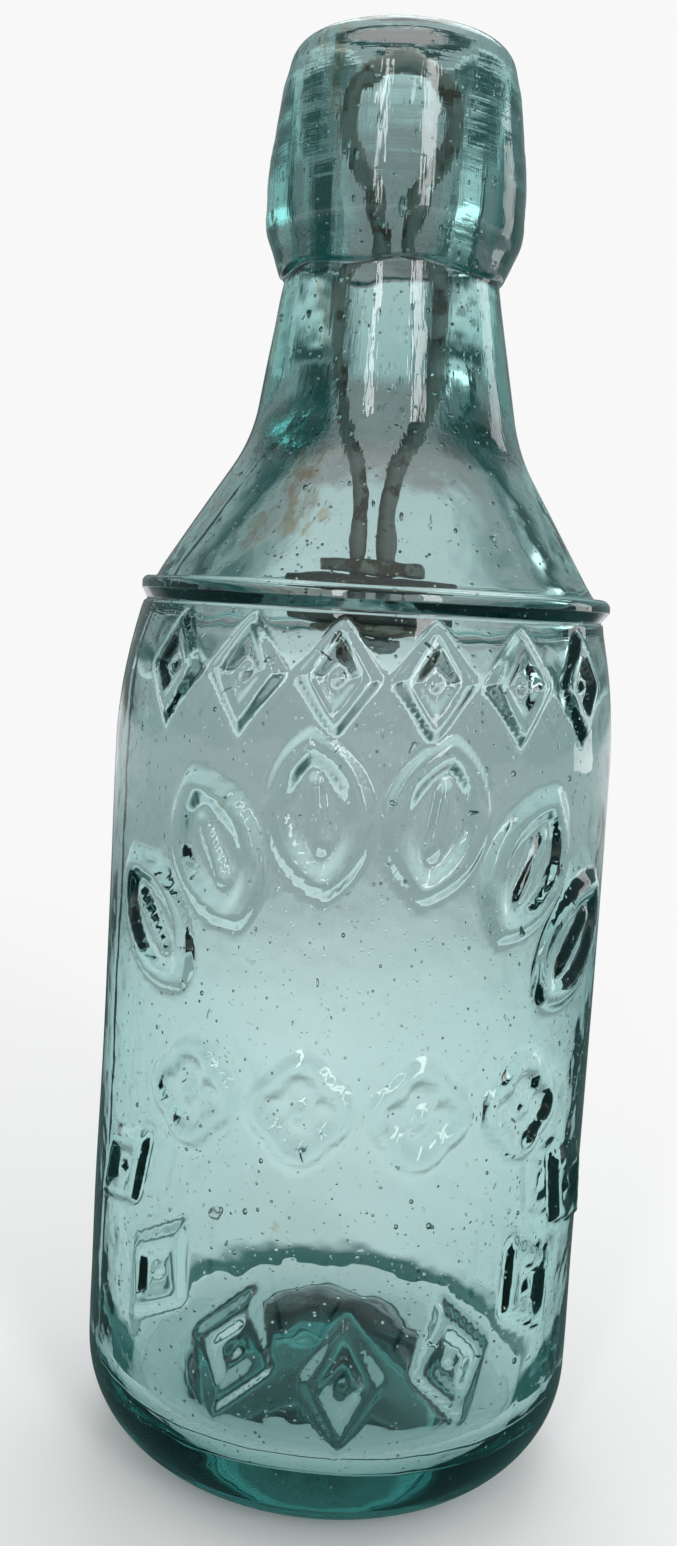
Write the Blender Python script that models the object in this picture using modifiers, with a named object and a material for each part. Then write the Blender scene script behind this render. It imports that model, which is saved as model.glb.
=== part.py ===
"""A round-shouldered soda bottle with a blob lip and an inside wire-loop stopper.

The glass is two turned pieces: the blown body with its neck, and the lip that was applied
over the neck's end. The stopper is a rubber gasket between two plates, hung on a bent wire
loop whose spring grips the bore. The stopper stands at rest in its open place, pushed down,
and slides up along +Z until the gasket meets the foot of the neck.

Everything is in metres, with +Z up and the origin at the centre of the base.
"""

import math

import bpy
from mathutils import Vector

MM = 0.001

# Heights of the glass, one above the other
RING_HEIGHT = 107.7 * MM
SHOULDER_RISE = 17.9 * MM
NECK_LENGTH = 19.4 * MM
LIP_LENGTH = 26.0 * MM

# Outside diameters of the glass
HEEL_DIAMETER = 61.6 * MM
BODY_DIAMETER = 60.4 * MM
UNDER_RING_DIAMETER = 55.6 * MM
RING_DIAMETER = 56.4 * MM
SHOULDER_FOOT_DIAMETER = 52.8 * MM
NECK_ROOT_DIAMETER = 32.0 * MM
NECK_TOP_DIAMETER = 25.4 * MM
LIP_FOOT_DIAMETER = 26.2 * MM
LIP_DIAMETER = 30.4 * MM
LIP_CROWN_DIAMETER = 25.0 * MM

# Curves and small forms of the outside
HEEL_RADIUS = 13.2 * MM
PUSH_UP_DIAMETER = 29.0 * MM
PUSH_UP_HEIGHT = 4.5 * MM
PUSH_UP_EDGE_RADIUS = 1.2 * MM
BODY_TURN_HEIGHT = 10.4 * MM
BODY_TURN_RADIUS = 64.0 * MM
RING_WIDTH = 2.4 * MM
RING_TOP_RADIUS = 1.2 * MM
RING_FOOT_RADIUS = 0.5 * MM
NECK_ROOT_RADIUS = 20.0 * MM
LIP_SWELL_HEIGHT = 4.8 * MM
LIP_SWELL_RADIUS = 6.0 * MM
LIP_WAIST_HEIGHT = 11.0 * MM
LIP_TAPER_HEIGHT = 20.0 * MM
LIP_TAPER_DIAMETER = 28.0 * MM
LIP_FLANK_RADIUS = 22.0 * MM
LIP_CROWN_RADIUS = 4.2 * MM
MOUTH_EDGE_RADIUS = 1.7 * MM

# Glass thicknesses and the inside
SIDE_WALL = 4.2 * MM
SHOULDER_WALL = 4.2 * MM
FLOOR_THICKNESS = 8.0 * MM
KICK_THICKNESS = 12.0 * MM
KICK_DIAMETER = 37.0 * MM
KICK_FOOT_RADIUS = 3.0 * MM
INNER_HEEL_RADIUS = 6.0 * MM
INNER_TURN_RADIUS = 25.0 * MM
INNER_ROOT_RADIUS = 18.0 * MM
NECK_BORE = 15.8 * MM
MOUTH_FLARE = 0.7 * MM

# The lip's overlap on the neck's end
LIP_OVERLAP = 5.0 * MM
NECK_END_RADIUS = 0.8 * MM

# The stopper
GASKET_OVERLAP = 2.6 * MM
GASKET_THICKNESS = 3.2 * MM
GASKET_RIM_DROP = 0.4 * MM
GASKET_EDGE_RADIUS = 0.7 * MM
PLATE_THICKNESS = 1.0 * MM
UPPER_PLATE_INSET = 1.3 * MM
UPPER_PLATE_BEAD = 0.6 * MM
LOWER_PLATE_INSET = 0.6 * MM
LOWER_PLATE_DOME = 0.8 * MM
BUTTON_DIAMETER = 8.4 * MM
BUTTON_HEIGHT = 2.6 * MM
BUTTON_EDGE_RADIUS = 1.3 * MM
WIRE_DIAMETER = 2.2 * MM
LEG_SPACING = 3.6 * MM
LEG_SET_IN = 1.4 * MM
STEM_LENGTH = 6.5 * MM
SPRING_FLAT = 5.0 * MM
SPRING_FOOT = 6.0 * MM
WAIST_SPACING = 3.5 * MM
WAIST_DROP = 9.4 * MM
LOOP_DROP = 2.3 * MM

# Clearances between pieces
SEAM_GAP = 0.3 * MM
STACK_GAP = 0.3 * MM
HOLE_GAP = 0.3 * MM
SEAT_GAP = 0.3 * MM
SPRING_GAP = 0.3 * MM
LOOP_GAP = 0.4 * MM

# How finely the curves are cut
TURN_STEPS = 48
SMALL_TURN_STEPS = 26
ARC_STEP = math.radians(16.0)
ROUTE_STEPS = 12
DRILL_SIDES = 16
CUT_MARGIN = 2.0 * MM
FILLET_ROOM = 0.98

# Heights worked out from the sizes above
NECK_ROOT_HEIGHT = RING_HEIGHT + SHOULDER_RISE
LIP_FOOT_HEIGHT = NECK_ROOT_HEIGHT + NECK_LENGTH
BOTTLE_HEIGHT = LIP_FOOT_HEIGHT + LIP_LENGTH
NECK_END_HEIGHT = LIP_FOOT_HEIGHT + LIP_OVERLAP
RING_TOP_HEIGHT = RING_HEIGHT + RING_WIDTH / 2
RING_FOOT_HEIGHT = RING_HEIGHT - RING_WIDTH / 2
FLOOR_HEIGHT = FLOOR_THICKNESS
KICK_HEIGHT = PUSH_UP_HEIGHT + KICK_THICKNESS

# Radii worked out from the sizes above
BORE_RADIUS = NECK_BORE / 2
MOUTH_RADIUS = BORE_RADIUS + MOUTH_FLARE
GASKET_RADIUS = BORE_RADIUS + GASKET_OVERLAP
UPPER_PLATE_RADIUS = BORE_RADIUS - UPPER_PLATE_INSET
LOWER_PLATE_RADIUS = BORE_RADIUS - LOWER_PLATE_INSET
WIRE_RADIUS = WIRE_DIAMETER / 2
INNER_WALL_RADIUS = BODY_DIAMETER / 2 - SIDE_WALL

# The stopper hangs with its gasket level with the shoulder ring
STOPPER_HEIGHT = RING_HEIGHT


def shoulder_slope():
    """How much the shoulder cone's radius falls for each metre of height."""
    fall = (SHOULDER_FOOT_DIAMETER - NECK_ROOT_DIAMETER) / 2
    return fall / (NECK_ROOT_HEIGHT - RING_TOP_HEIGHT)


def inner_cone_radius(height):
    """Radius of the shoulder's inside at a height, set in from the outside by its wall."""
    slope = shoulder_slope()
    set_in = SHOULDER_WALL * math.hypot(1.0, slope)
    return SHOULDER_FOOT_DIAMETER / 2 - set_in - slope * (height - RING_TOP_HEIGHT)


def inner_cone_height(radius):
    """Height at which the shoulder's inside has this radius."""
    return RING_TOP_HEIGHT + (inner_cone_radius(RING_TOP_HEIGHT) - radius) / shoulder_slope()


def neck_end_radius():
    """Outside radius of the neck's end, on the neck's own taper."""
    taper = (NECK_ROOT_DIAMETER - NECK_TOP_DIAMETER) / 2 / NECK_LENGTH
    return NECK_TOP_DIAMETER / 2 - taper * LIP_OVERLAP


def corner_turn(corners, index):
    """The angle by which the outline turns at a corner, with the unit ways back and onward."""
    x, z, _ = corners[index]
    before, after = corners[index - 1], corners[index + 1]
    back = Vector((before[0] - x, before[1] - z)).normalized()
    onward = Vector((after[0] - x, after[1] - z)).normalized()
    return math.pi - back.angle(onward), back, onward


def fillet_cuts(corners):
    """How far each fillet cuts back along its two sides.

    Where two fillets want more than the side between them, both are drawn in alike.
    """
    last = len(corners) - 1
    wanted = [0.0] * len(corners)
    for index in range(1, last):
        turn = corner_turn(corners, index)[0]
        wanted[index] = corners[index][2] * math.tan(turn / 2)
    allowed = list(wanted)
    for index in range(last):
        side = math.dist(corners[index][:2], corners[index + 1][:2])
        both = wanted[index] + wanted[index + 1]
        if both > FILLET_ROOM * side:
            share = FILLET_ROOM * side / both
            allowed[index] = min(allowed[index], wanted[index] * share)
            allowed[index + 1] = min(allowed[index + 1], wanted[index + 1] * share)
    return allowed


def rounded(corners):
    """A profile through corners (radius, height, fillet), with each fillet drawn as an arc."""
    points = [corners[0][:2]]
    cuts = fillet_cuts(corners)
    for index in range(1, len(corners) - 1):
        corner = Vector(corners[index][:2])
        turn, back, onward = corner_turn(corners, index)
        if cuts[index] == 0.0:
            points.append(tuple(corner))
            continue
        radius = cuts[index] / math.tan(turn / 2)
        centre = corner + (back + onward).normalized() * math.hypot(radius, cuts[index])
        first = corner + back * cuts[index] - centre
        side = 1.0 if back.x * onward.y - back.y * onward.x < 0.0 else -1.0
        steps = max(2, math.ceil(turn / ARC_STEP))
        for step in range(steps + 1):
            angle = math.atan2(first.y, first.x) + side * turn * step / steps
            points.append((centre.x + radius * math.cos(angle), centre.y + radius * math.sin(angle)))
    return points + [corners[-1][:2]]


def cap_arc(rim_radius, rim_height, crown_height):
    """Points of a shallow dome from its crown on the axis out to just before its rim."""
    rise = crown_height - rim_height
    sphere = (rim_radius ** 2 + rise ** 2) / (2 * rise)
    sweep = math.asin(rim_radius / sphere)
    steps = max(4, math.ceil(sweep / ARC_STEP))
    points = []
    for step in range(steps):
        angle = sweep * step / steps
        points.append((sphere * math.sin(angle), crown_height - sphere * (1 - math.cos(angle))))
    return points


def collection_named(name, hidden=False):
    """A new collection in the scene."""
    collection = bpy.data.collections.new(name)
    collection.hide_render = hidden
    bpy.context.scene.collection.children.link(collection)
    return collection


def material_named(name, colour, roughness, metallic=0.0, transmission=0.0):
    """A Principled material."""
    material = bpy.data.materials.new(name)
    material.use_nodes = True
    shader = material.node_tree.nodes["Principled BSDF"]
    shader.inputs["Base Color"].default_value = (*colour, 1.0)
    shader.inputs["Roughness"].default_value = roughness
    shader.inputs["Metallic"].default_value = metallic
    shader.inputs["Transmission Weight"].default_value = transmission
    return material


def turned(name, profile, collection, material, steps, closed=False):
    """A turned solid: the profile in the XZ plane, carried round Z by a Screw modifier.

    The profile runs down its outer side from top to bottom.
    """
    count = len(profile)
    edges = [(i, i + 1) for i in range(count - 1)]
    if closed:
        edges.append((count - 1, 0))
    mesh = bpy.data.meshes.new(name)
    mesh.from_pydata([(x, 0.0, z) for x, z in profile], edges, [])
    mesh.materials.append(material)
    piece = bpy.data.objects.new(name, mesh)
    collection.objects.link(piece)
    screw = piece.modifiers.new("Turn", "SCREW")
    screw.axis = "Z"
    screw.steps = steps
    screw.render_steps = steps
    screw.use_merge_vertices = True
    screw.merge_threshold = 0.00001
    screw.use_smooth_shade = True
    return piece


def leg_cutters(name, bottom, top, collection):
    """Two upright drills, one for each leg of the wire, with the hole's clearance."""
    cutters = []
    for side in (-1, 1):
        bpy.ops.mesh.primitive_cylinder_add(
            vertices=DRILL_SIDES,
            radius=WIRE_RADIUS + HOLE_GAP,
            depth=top - bottom,
            location=(side * LEG_SPACING / 2, 0.0, (top + bottom) / 2),
        )
        cutter = bpy.context.object
        cutter.name = f"{name}_{'left' if side < 0 else 'right'}"
        cutter.hide_render = True
        cutter.display_type = "WIRE"
        for owner in list(cutter.users_collection):
            owner.objects.unlink(cutter)
        collection.objects.link(cutter)
        cutters.append(cutter)
    return cutters


def drill(piece, cutters):
    """Cuts each drill out of the piece."""
    for cutter in cutters:
        boolean = piece.modifiers.new(f"Drill {cutter.name}", "BOOLEAN")
        boolean.operation = "DIFFERENCE"
        boolean.solver = "EXACT"
        boolean.object = cutter


def body_profile():
    """The body's closed outline: kicked-up floor, inside, neck end, outside, heel and push-up."""
    inside = cap_arc(KICK_DIAMETER / 2, FLOOR_HEIGHT, KICK_HEIGHT)
    underside = cap_arc(PUSH_UP_DIAMETER / 2, 0.0, PUSH_UP_HEIGHT)
    corners = [
        (KICK_DIAMETER / 2, FLOOR_HEIGHT, KICK_FOOT_RADIUS),
        (INNER_WALL_RADIUS, FLOOR_HEIGHT, INNER_HEEL_RADIUS),
        (INNER_WALL_RADIUS, inner_cone_height(INNER_WALL_RADIUS), INNER_TURN_RADIUS),
        (BORE_RADIUS, inner_cone_height(BORE_RADIUS), INNER_ROOT_RADIUS),
        (BORE_RADIUS, NECK_END_HEIGHT, NECK_END_RADIUS),
        (neck_end_radius(), NECK_END_HEIGHT, NECK_END_RADIUS),
        (NECK_ROOT_DIAMETER / 2, NECK_ROOT_HEIGHT, NECK_ROOT_RADIUS),
        (SHOULDER_FOOT_DIAMETER / 2, RING_TOP_HEIGHT, 0.0),
        (RING_DIAMETER / 2, RING_TOP_HEIGHT, RING_TOP_RADIUS),
        (RING_DIAMETER / 2, RING_FOOT_HEIGHT, RING_FOOT_RADIUS),
        (UNDER_RING_DIAMETER / 2, RING_FOOT_HEIGHT, 0.0),
        (BODY_DIAMETER / 2, RING_FOOT_HEIGHT - BODY_TURN_HEIGHT, BODY_TURN_RADIUS),
        (HEEL_DIAMETER / 2, 0.0, HEEL_RADIUS),
        (PUSH_UP_DIAMETER / 2, 0.0, PUSH_UP_EDGE_RADIUS),
    ]
    middle = rounded([inside[-1] + (0.0,)] + corners + [underside[-1] + (0.0,)])
    return inside[:-1] + middle + underside[-2::-1]


def lip_profile():
    """The lip's closed ring outline, from the bore over the crown and down to the feathered foot."""
    socket_radius = neck_end_radius() + SEAM_GAP
    foot_bore = NECK_TOP_DIAMETER / 2 + SEAM_GAP
    ledge_height = NECK_END_HEIGHT + SEAM_GAP
    corners = [
        (MOUTH_RADIUS, BOTTLE_HEIGHT, MOUTH_EDGE_RADIUS),
        (LIP_CROWN_DIAMETER / 2, BOTTLE_HEIGHT, LIP_CROWN_RADIUS),
        (LIP_TAPER_DIAMETER / 2, LIP_FOOT_HEIGHT + LIP_TAPER_HEIGHT, LIP_FLANK_RADIUS),
        (LIP_DIAMETER / 2, LIP_FOOT_HEIGHT + LIP_WAIST_HEIGHT, LIP_FLANK_RADIUS),
        (LIP_DIAMETER / 2, LIP_FOOT_HEIGHT + LIP_SWELL_HEIGHT, LIP_SWELL_RADIUS),
        (LIP_FOOT_DIAMETER / 2, LIP_FOOT_HEIGHT, 0.0),
        (foot_bore, LIP_FOOT_HEIGHT, 0.0),
        (socket_radius, ledge_height, 0.0),
        (BORE_RADIUS, ledge_height, 0.0),
    ]
    start = ((BORE_RADIUS + MOUTH_RADIUS) / 2, (ledge_height + BOTTLE_HEIGHT) / 2, 0.0)
    return rounded([start] + corners + [start])[:-1]


def build_blown_body(collection, material):
    """The mould-blown body: thick kicked-up base, ringed shoulder, and a neck to its sheared end."""
    return turned("blown_body", body_profile(), collection, material, TURN_STEPS)


def build_applied_lip(collection, material):
    """The tall blob lip, laid on over the neck's end."""
    return turned("applied_lip", lip_profile(), collection, material, TURN_STEPS, closed=True)


def build_gasket(collection, cutters, material, carrier):
    """The rubber disc that seals under the neck, thinned towards its rim."""
    half = GASKET_THICKNESS / 2
    rim = half - GASKET_RIM_DROP
    profile = rounded(
        [
            (0.0, half, 0.0),
            (LOWER_PLATE_RADIUS, half, 0.0),
            (GASKET_RADIUS, rim, GASKET_EDGE_RADIUS),
            (GASKET_RADIUS, -rim, GASKET_EDGE_RADIUS),
            (LOWER_PLATE_RADIUS, -half, 0.0),
            (0.0, -half, 0.0),
        ]
    )
    gasket = turned("rubber_gasket", profile, collection, material, SMALL_TURN_STEPS)
    drills = leg_cutters("gasket_drill", -half - CUT_MARGIN, half + CUT_MARGIN, cutters)
    return place(gasket, drills, carrier)


def build_upper_plate(collection, cutters, material, carrier):
    """The pressed plate on top of the gasket, with a raised bead round its rim."""
    foot = GASKET_THICKNESS / 2 + STACK_GAP
    top = foot + PLATE_THICKNESS
    bead = top + UPPER_PLATE_BEAD
    profile = rounded(
        [
            (0.0, top, 0.0),
            (UPPER_PLATE_RADIUS - 2 * PLATE_THICKNESS, top, PLATE_THICKNESS / 2),
            (UPPER_PLATE_RADIUS - PLATE_THICKNESS, bead, PLATE_THICKNESS / 3),
            (UPPER_PLATE_RADIUS, bead, PLATE_THICKNESS / 3),
            (UPPER_PLATE_RADIUS, foot, PLATE_THICKNESS / 4),
            (0.0, foot, 0.0),
        ]
    )
    plate = turned("upper_plate", profile, collection, material, SMALL_TURN_STEPS)
    drills = leg_cutters("upper_plate_drill", foot - CUT_MARGIN, bead + CUT_MARGIN, cutters)
    return place(plate, drills, carrier)


def build_lower_plate(collection, cutters, material, carrier):
    """The plate under the gasket, flat above and domed below."""
    top = -GASKET_THICKNESS / 2 - STACK_GAP
    rim = top - PLATE_THICKNESS
    crown = rim - LOWER_PLATE_DOME
    flat = LEG_SPACING / 2 + WIRE_RADIUS + HOLE_GAP + PLATE_THICKNESS / 2
    profile = rounded(
        [
            (0.0, top, 0.0),
            (LOWER_PLATE_RADIUS, top, PLATE_THICKNESS / 3),
            (LOWER_PLATE_RADIUS, rim, PLATE_THICKNESS / 3),
            (flat, crown, PLATE_THICKNESS),
            (0.0, crown, 0.0),
        ]
    )
    plate = turned("lower_plate", profile, collection, material, SMALL_TURN_STEPS)
    drills = leg_cutters("lower_plate_drill", crown - CUT_MARGIN, top + CUT_MARGIN, cutters)
    return place(plate, drills, carrier)


def button_top():
    """Height of the solder button's top over the stopper's origin."""
    stack = GASKET_THICKNESS / 2 + STACK_GAP + PLATE_THICKNESS + LOWER_PLATE_DOME
    return -stack - STACK_GAP


def build_solder_button(collection, cutters, material, carrier):
    """The blob of solder that holds the wire's two ends under the lower plate."""
    top = button_top()
    foot = top - BUTTON_HEIGHT
    profile = rounded(
        [
            (0.0, top, 0.0),
            (BUTTON_DIAMETER / 2, top, PLATE_THICKNESS / 3),
            (BUTTON_DIAMETER / 2, foot, BUTTON_EDGE_RADIUS),
            (0.0, foot, 0.0),
        ]
    )
    button = turned("solder_button", profile, collection, material, SMALL_TURN_STEPS)
    drills = leg_cutters("button_drill", top - LEG_SET_IN - HOLE_GAP, top + CUT_MARGIN, cutters)
    return place(button, drills, carrier)


def swing(start, end, steps):
    """Points from start to end, upright at both ends and swinging sideways on a half cosine."""
    points = []
    for step in range(1, steps + 1):
        share = step / steps
        aside = (1 - math.cos(math.pi * share)) / 2
        x = start[0] + (end[0] - start[0]) * aside
        z = start[1] + (end[1] - start[1]) * share
        points.append((x, z))
    return points


def wire_route():
    """The wire's centre line, from one leg's end up round the loop and down to the other.

    Each half rises as a leg, bows out into the spring, draws in at the waist and closes in
    the round finger loop.
    """
    leg = LEG_SPACING / 2
    waist = WAIST_SPACING / 2
    spring = BORE_RADIUS - SPRING_GAP - WIRE_RADIUS
    finger = BORE_RADIUS - LOOP_GAP - WIRE_RADIUS
    foot = button_top() - LEG_SET_IN
    plate_top = GASKET_THICKNESS / 2 + STACK_GAP + PLATE_THICKNESS
    stem_top = plate_top + STEM_LENGTH
    spring_foot = inner_cone_height(BORE_RADIUS) + SPRING_FOOT - STOPPER_HEIGHT
    spring_top = spring_foot + SPRING_FLAT
    loop_centre = BOTTLE_HEIGHT - LOOP_DROP - WIRE_RADIUS - finger - STOPPER_HEIGHT
    waist_height = loop_centre - WAIST_DROP
    half = [(leg, foot), (leg, stem_top)]
    half += swing((leg, stem_top), (spring, spring_foot), ROUTE_STEPS)
    half += swing((spring, spring_foot), (spring, spring_top), 1)
    half += swing((spring, spring_top), (waist, waist_height), ROUTE_STEPS)
    half += swing((waist, waist_height), (finger, loop_centre), ROUTE_STEPS)
    for step in range(1, ROUTE_STEPS // 2):
        angle = math.pi * step / ROUTE_STEPS
        half.append((finger * math.cos(angle), loop_centre + finger * math.sin(angle)))
    crown = [(0.0, loop_centre + finger)]
    return half + crown + [(-x, z) for x, z in reversed(half)]


def build_wire_loop(collection, material, carrier):
    """The one piece of spring wire: finger loop, waist, spring and two legs."""
    route = wire_route()
    curve = bpy.data.curves.new("stopper_wire_loop", "CURVE")
    curve.dimensions = "3D"
    curve.bevel_depth = WIRE_RADIUS
    curve.bevel_resolution = 3
    curve.use_fill_caps = True
    curve.materials.append(material)
    spline = curve.splines.new("POLY")
    spline.points.add(len(route) - 1)
    for point, (x, z) in zip(spline.points, route):
        point.co = (x, 0.0, z, 1.0)
    spline.use_smooth = True
    wire = bpy.data.objects.new("stopper_wire_loop", curve)
    collection.objects.link(wire)
    wire.parent = carrier
    return wire


def place(piece, drills, carrier):
    """Drills the piece and hangs it, with its drills, on the stopper's empty."""
    drill(piece, drills)
    for member in (piece, *drills):
        member.parent = carrier
    return piece


def stopper_travel():
    """How far the stopper rises until the gasket's rim lies at its seat, short of the glass."""
    slope = shoulder_slope()
    radius = GASKET_RADIUS + SEAT_GAP * math.hypot(1.0, slope)
    rim = STOPPER_HEIGHT + GASKET_THICKNESS / 2 - GASKET_RIM_DROP
    return inner_cone_height(radius) - rim


def clear_scene():
    """Removes every object of the open scene."""
    for item in list(bpy.data.objects):
        bpy.data.objects.remove(item, do_unlink=True)


def main():
    """Builds the bottle and its stopper at rest, with the stopper open."""
    clear_scene()
    bottle = collection_named("soda_bottle")
    cutters = collection_named("cutters", hidden=True)

    body_glass = material_named("body_glass", (0.36, 0.58, 0.56), 0.04, transmission=1.0)
    lip_glass = material_named("lip_glass", (0.34, 0.56, 0.54), 0.05, transmission=1.0)
    tinned_wire = material_named("tinned_wire", (0.30, 0.28, 0.25), 0.42, metallic=1.0)
    plate_metal = material_named("plate_metal", (0.33, 0.30, 0.24), 0.48, metallic=1.0)
    lower_metal = material_named("lower_metal", (0.29, 0.27, 0.23), 0.50, metallic=1.0)
    solder = material_named("solder", (0.38, 0.38, 0.37), 0.45, metallic=1.0)
    old_rubber = material_named("old_rubber", (0.06, 0.045, 0.035), 0.75)

    build_blown_body(bottle, body_glass)
    build_applied_lip(bottle, lip_glass)

    carrier = bpy.data.objects.new("stopper_axis", None)
    carrier.location = (0.0, 0.0, STOPPER_HEIGHT)
    bottle.objects.link(carrier)
    build_gasket(bottle, cutters, old_rubber, carrier)
    build_upper_plate(bottle, cutters, plate_metal, carrier)
    build_lower_plate(bottle, cutters, lower_metal, carrier)
    build_solder_button(bottle, cutters, solder, carrier)
    build_wire_loop(bottle, tinned_wire, carrier)

    print(f"height {BOTTLE_HEIGHT / MM:.2f} mm, stopper travel {stopper_travel() / MM:.2f} mm")


if __name__ == "__main__":
    main()
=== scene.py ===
"""The looks of an old soda bottle: thick aqua glass with a blob lip, and its wire-loop stopper.

The glass is one fused skin that stands for the blown body and the applied lip. The stopper's
five pieces are dressed one by one, and ride on the stopper's body. Everything is in metres in
the frame of the solids, with +Z up, the axis of the bottle on Z and its front towards -Y. Only
the corners of outlines (radius, height, fillet, spacing), the lean's table and the heights and
sizes of the seeds are written in millimetres.
"""

import logging
import math
from dataclasses import dataclass
from enum import Enum
from typing import Iterator

import bpy
import numpy as np
from mathutils import Matrix, Vector


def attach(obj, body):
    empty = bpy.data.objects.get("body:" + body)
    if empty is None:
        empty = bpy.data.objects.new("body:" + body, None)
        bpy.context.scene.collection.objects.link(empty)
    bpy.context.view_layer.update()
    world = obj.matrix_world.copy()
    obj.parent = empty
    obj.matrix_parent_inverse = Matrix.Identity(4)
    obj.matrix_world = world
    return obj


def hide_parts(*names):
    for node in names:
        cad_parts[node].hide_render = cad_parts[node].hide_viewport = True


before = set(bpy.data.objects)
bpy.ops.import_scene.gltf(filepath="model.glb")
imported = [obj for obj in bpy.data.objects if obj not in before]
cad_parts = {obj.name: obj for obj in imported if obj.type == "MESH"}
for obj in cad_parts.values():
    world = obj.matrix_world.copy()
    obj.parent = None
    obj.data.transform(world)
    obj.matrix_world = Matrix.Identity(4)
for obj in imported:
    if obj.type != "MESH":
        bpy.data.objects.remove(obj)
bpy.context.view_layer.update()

Array = np.ndarray
Piece = bpy.types.Object
Finish = bpy.types.Material
Socket = bpy.types.NodeSocket
Inputs = dict[str | int, object]
Span = tuple[float, float]
Tone = tuple[float, float, float]
Placing = tuple[float, float, float]
Corner = tuple[float, float, float, float]

MM = 0.001
FRONT = -math.pi / 2
WHITE = (1.0, 1.0, 1.0)

# The widest step along a fillet's arc, the share of a side that its two fillets may take, and
# the fewest steps across a dome.
ARC_STEP = math.radians(11.0)
FILLET_ROOM = 0.98
DOME_STEPS = 6

log = logging.getLogger("bottle")


class Body(Enum):
    """The two bodies of the frame that pieces ride on."""

    BOTTLE = "bottle"
    STOPPER = "stopper"


class Motif(Enum):
    """The plain ornaments pressed into the glass."""

    LOZENGE = "lozenge"
    LEAF = "leaf"
    QUATREFOIL = "quatrefoil"


def smooth_step(value: Array) -> Array:
    """Eases from 0 to 1 as the value goes from 0 to 1, flat at both ends: 3v^2 - 2v^3."""
    held = np.clip(value, 0.0, 1.0)
    return held * held * (3.0 - 2.0 * held)


@dataclass(frozen=True)
class Band:
    """A span that is 1 from low to high, and eases to 0 over the edge's width at both ends."""

    low: float
    high: float
    edge: float

    def over(self, value: Array) -> Array:
        """The band's strength at each value: an eased rise times an eased fall."""
        rise = smooth_step((value - self.low) / self.edge + 0.5)
        return rise * smooth_step((self.high - value) / self.edge + 0.5)


@dataclass(frozen=True)
class Drift:
    """Slow unevenness of hand-made work, about 1 at its most, closed on itself round the axis.

    It is the sum of some swings over the root of their count. Each is the cosine of a whole
    number of turns of the angle, plus a run of the height no shorter than the length, plus a
    phase. The seed picks the set.
    """

    seed: int
    turns: int
    length: float
    count: int = 16

    def at(self, angle: Array, height: Array) -> Array:
        """The unevenness at points.

        Args:
            angle: Angle about the axis of each point.
            height: Height of each point.

        Returns:
            One value for each point.
        """
        rng = np.random.default_rng(self.seed)
        around = rng.integers(0, self.turns + 1, self.count)
        rise = rng.uniform(-1.0, 1.0, self.count) * 2.0 * math.pi / self.length
        phase = rng.uniform(0.0, 2.0 * math.pi, self.count)
        swings = np.cos(angle[..., None] * around + height[..., None] * rise + phase)
        return swings.sum(-1) / math.sqrt(self.count)


def in_metres(corners: tuple[Corner, ...]) -> list[Corner]:
    """Corners that were written in millimetres."""
    return [tuple(value * MM for value in corner) for corner in corners]


def corner_turn(corners: list[Corner], index: int) -> tuple[float, Vector, Vector]:
    """How an outline turns at one of its corners.

    Args:
        corners: The outline's corners.
        index: Which corner, neither the first nor the last.

    Returns:
        The angle of the turn, and the unit ways back and onward.
    """
    here = Vector(corners[index][:2])
    back = (Vector(corners[index - 1][:2]) - here).normalized()
    onward = (Vector(corners[index + 1][:2]) - here).normalized()
    return math.pi - back.angle(onward), back, onward


def fillet_cuts(corners: list[Corner]) -> list[float]:
    """How far each fillet cuts back along its two sides, shared where two want one side.

    Args:
        corners: The outline's corners.

    Returns:
        For each, its radius times the tangent of half the turn, or less where room is short.
    """
    last = len(corners) - 1
    wanted = [0.0] * len(corners)
    for index in range(1, last):
        turn = corner_turn(corners, index)[0]
        wanted[index] = corners[index][2] * math.tan(turn / 2)
    allowed = list(wanted)
    for index in range(last):
        side = math.dist(corners[index][:2], corners[index + 1][:2])
        both = wanted[index] + wanted[index + 1]
        if both > FILLET_ROOM * side:
            share = FILLET_ROOM * side / both
            allowed[index] = min(allowed[index], wanted[index] * share)
            allowed[index + 1] = min(allowed[index + 1], wanted[index + 1] * share)
    return allowed


def straight_run(start: Vector, end: Vector, spacing: float) -> list[Span]:
    """Points from just after start up to end, no further apart than the spacing."""
    steps = max(1, math.ceil((end - start).length / spacing))
    return [tuple(start.lerp(end, step / steps)) for step in range(1, steps + 1)]


def rounded_outline(corners: list[Corner]) -> Array:
    """An outline through corners, with its fillets as arcs.

    Args:
        corners: Its corners. A spacing holds for the arc and the straight run after it.

    Returns:
        Points (radius, height) along the outline.
    """
    cuts = fillet_cuts(corners)
    here = Vector(corners[0][:2])
    points = [tuple(here)]
    for index in range(1, len(corners) - 1):
        corner, spacing = Vector(corners[index][:2]), corners[index][3]
        turn, back, onward = corner_turn(corners, index)
        first = corner + back * cuts[index]
        points += straight_run(here, first, corners[index - 1][3])
        here = corner + onward * cuts[index]
        if cuts[index] == 0.0:
            continue
        radius = cuts[index] / math.tan(turn / 2)
        centre = corner + (back + onward).normalized() * math.hypot(radius, cuts[index])
        arm = first - centre
        side = 1.0 if back.x * onward.y - back.y * onward.x < 0.0 else -1.0
        steps = max(2, math.ceil(turn / ARC_STEP), math.ceil(radius * turn / spacing))
        for step in range(1, steps + 1):
            angle = math.atan2(arm.y, arm.x) + side * turn * step / steps
            x, y = centre.x + radius * math.cos(angle), centre.y + radius * math.sin(angle)
            points.append((x, y))
    points += straight_run(here, Vector(corners[-1][:2]), corners[-2][3])
    return np.array(points)


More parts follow.
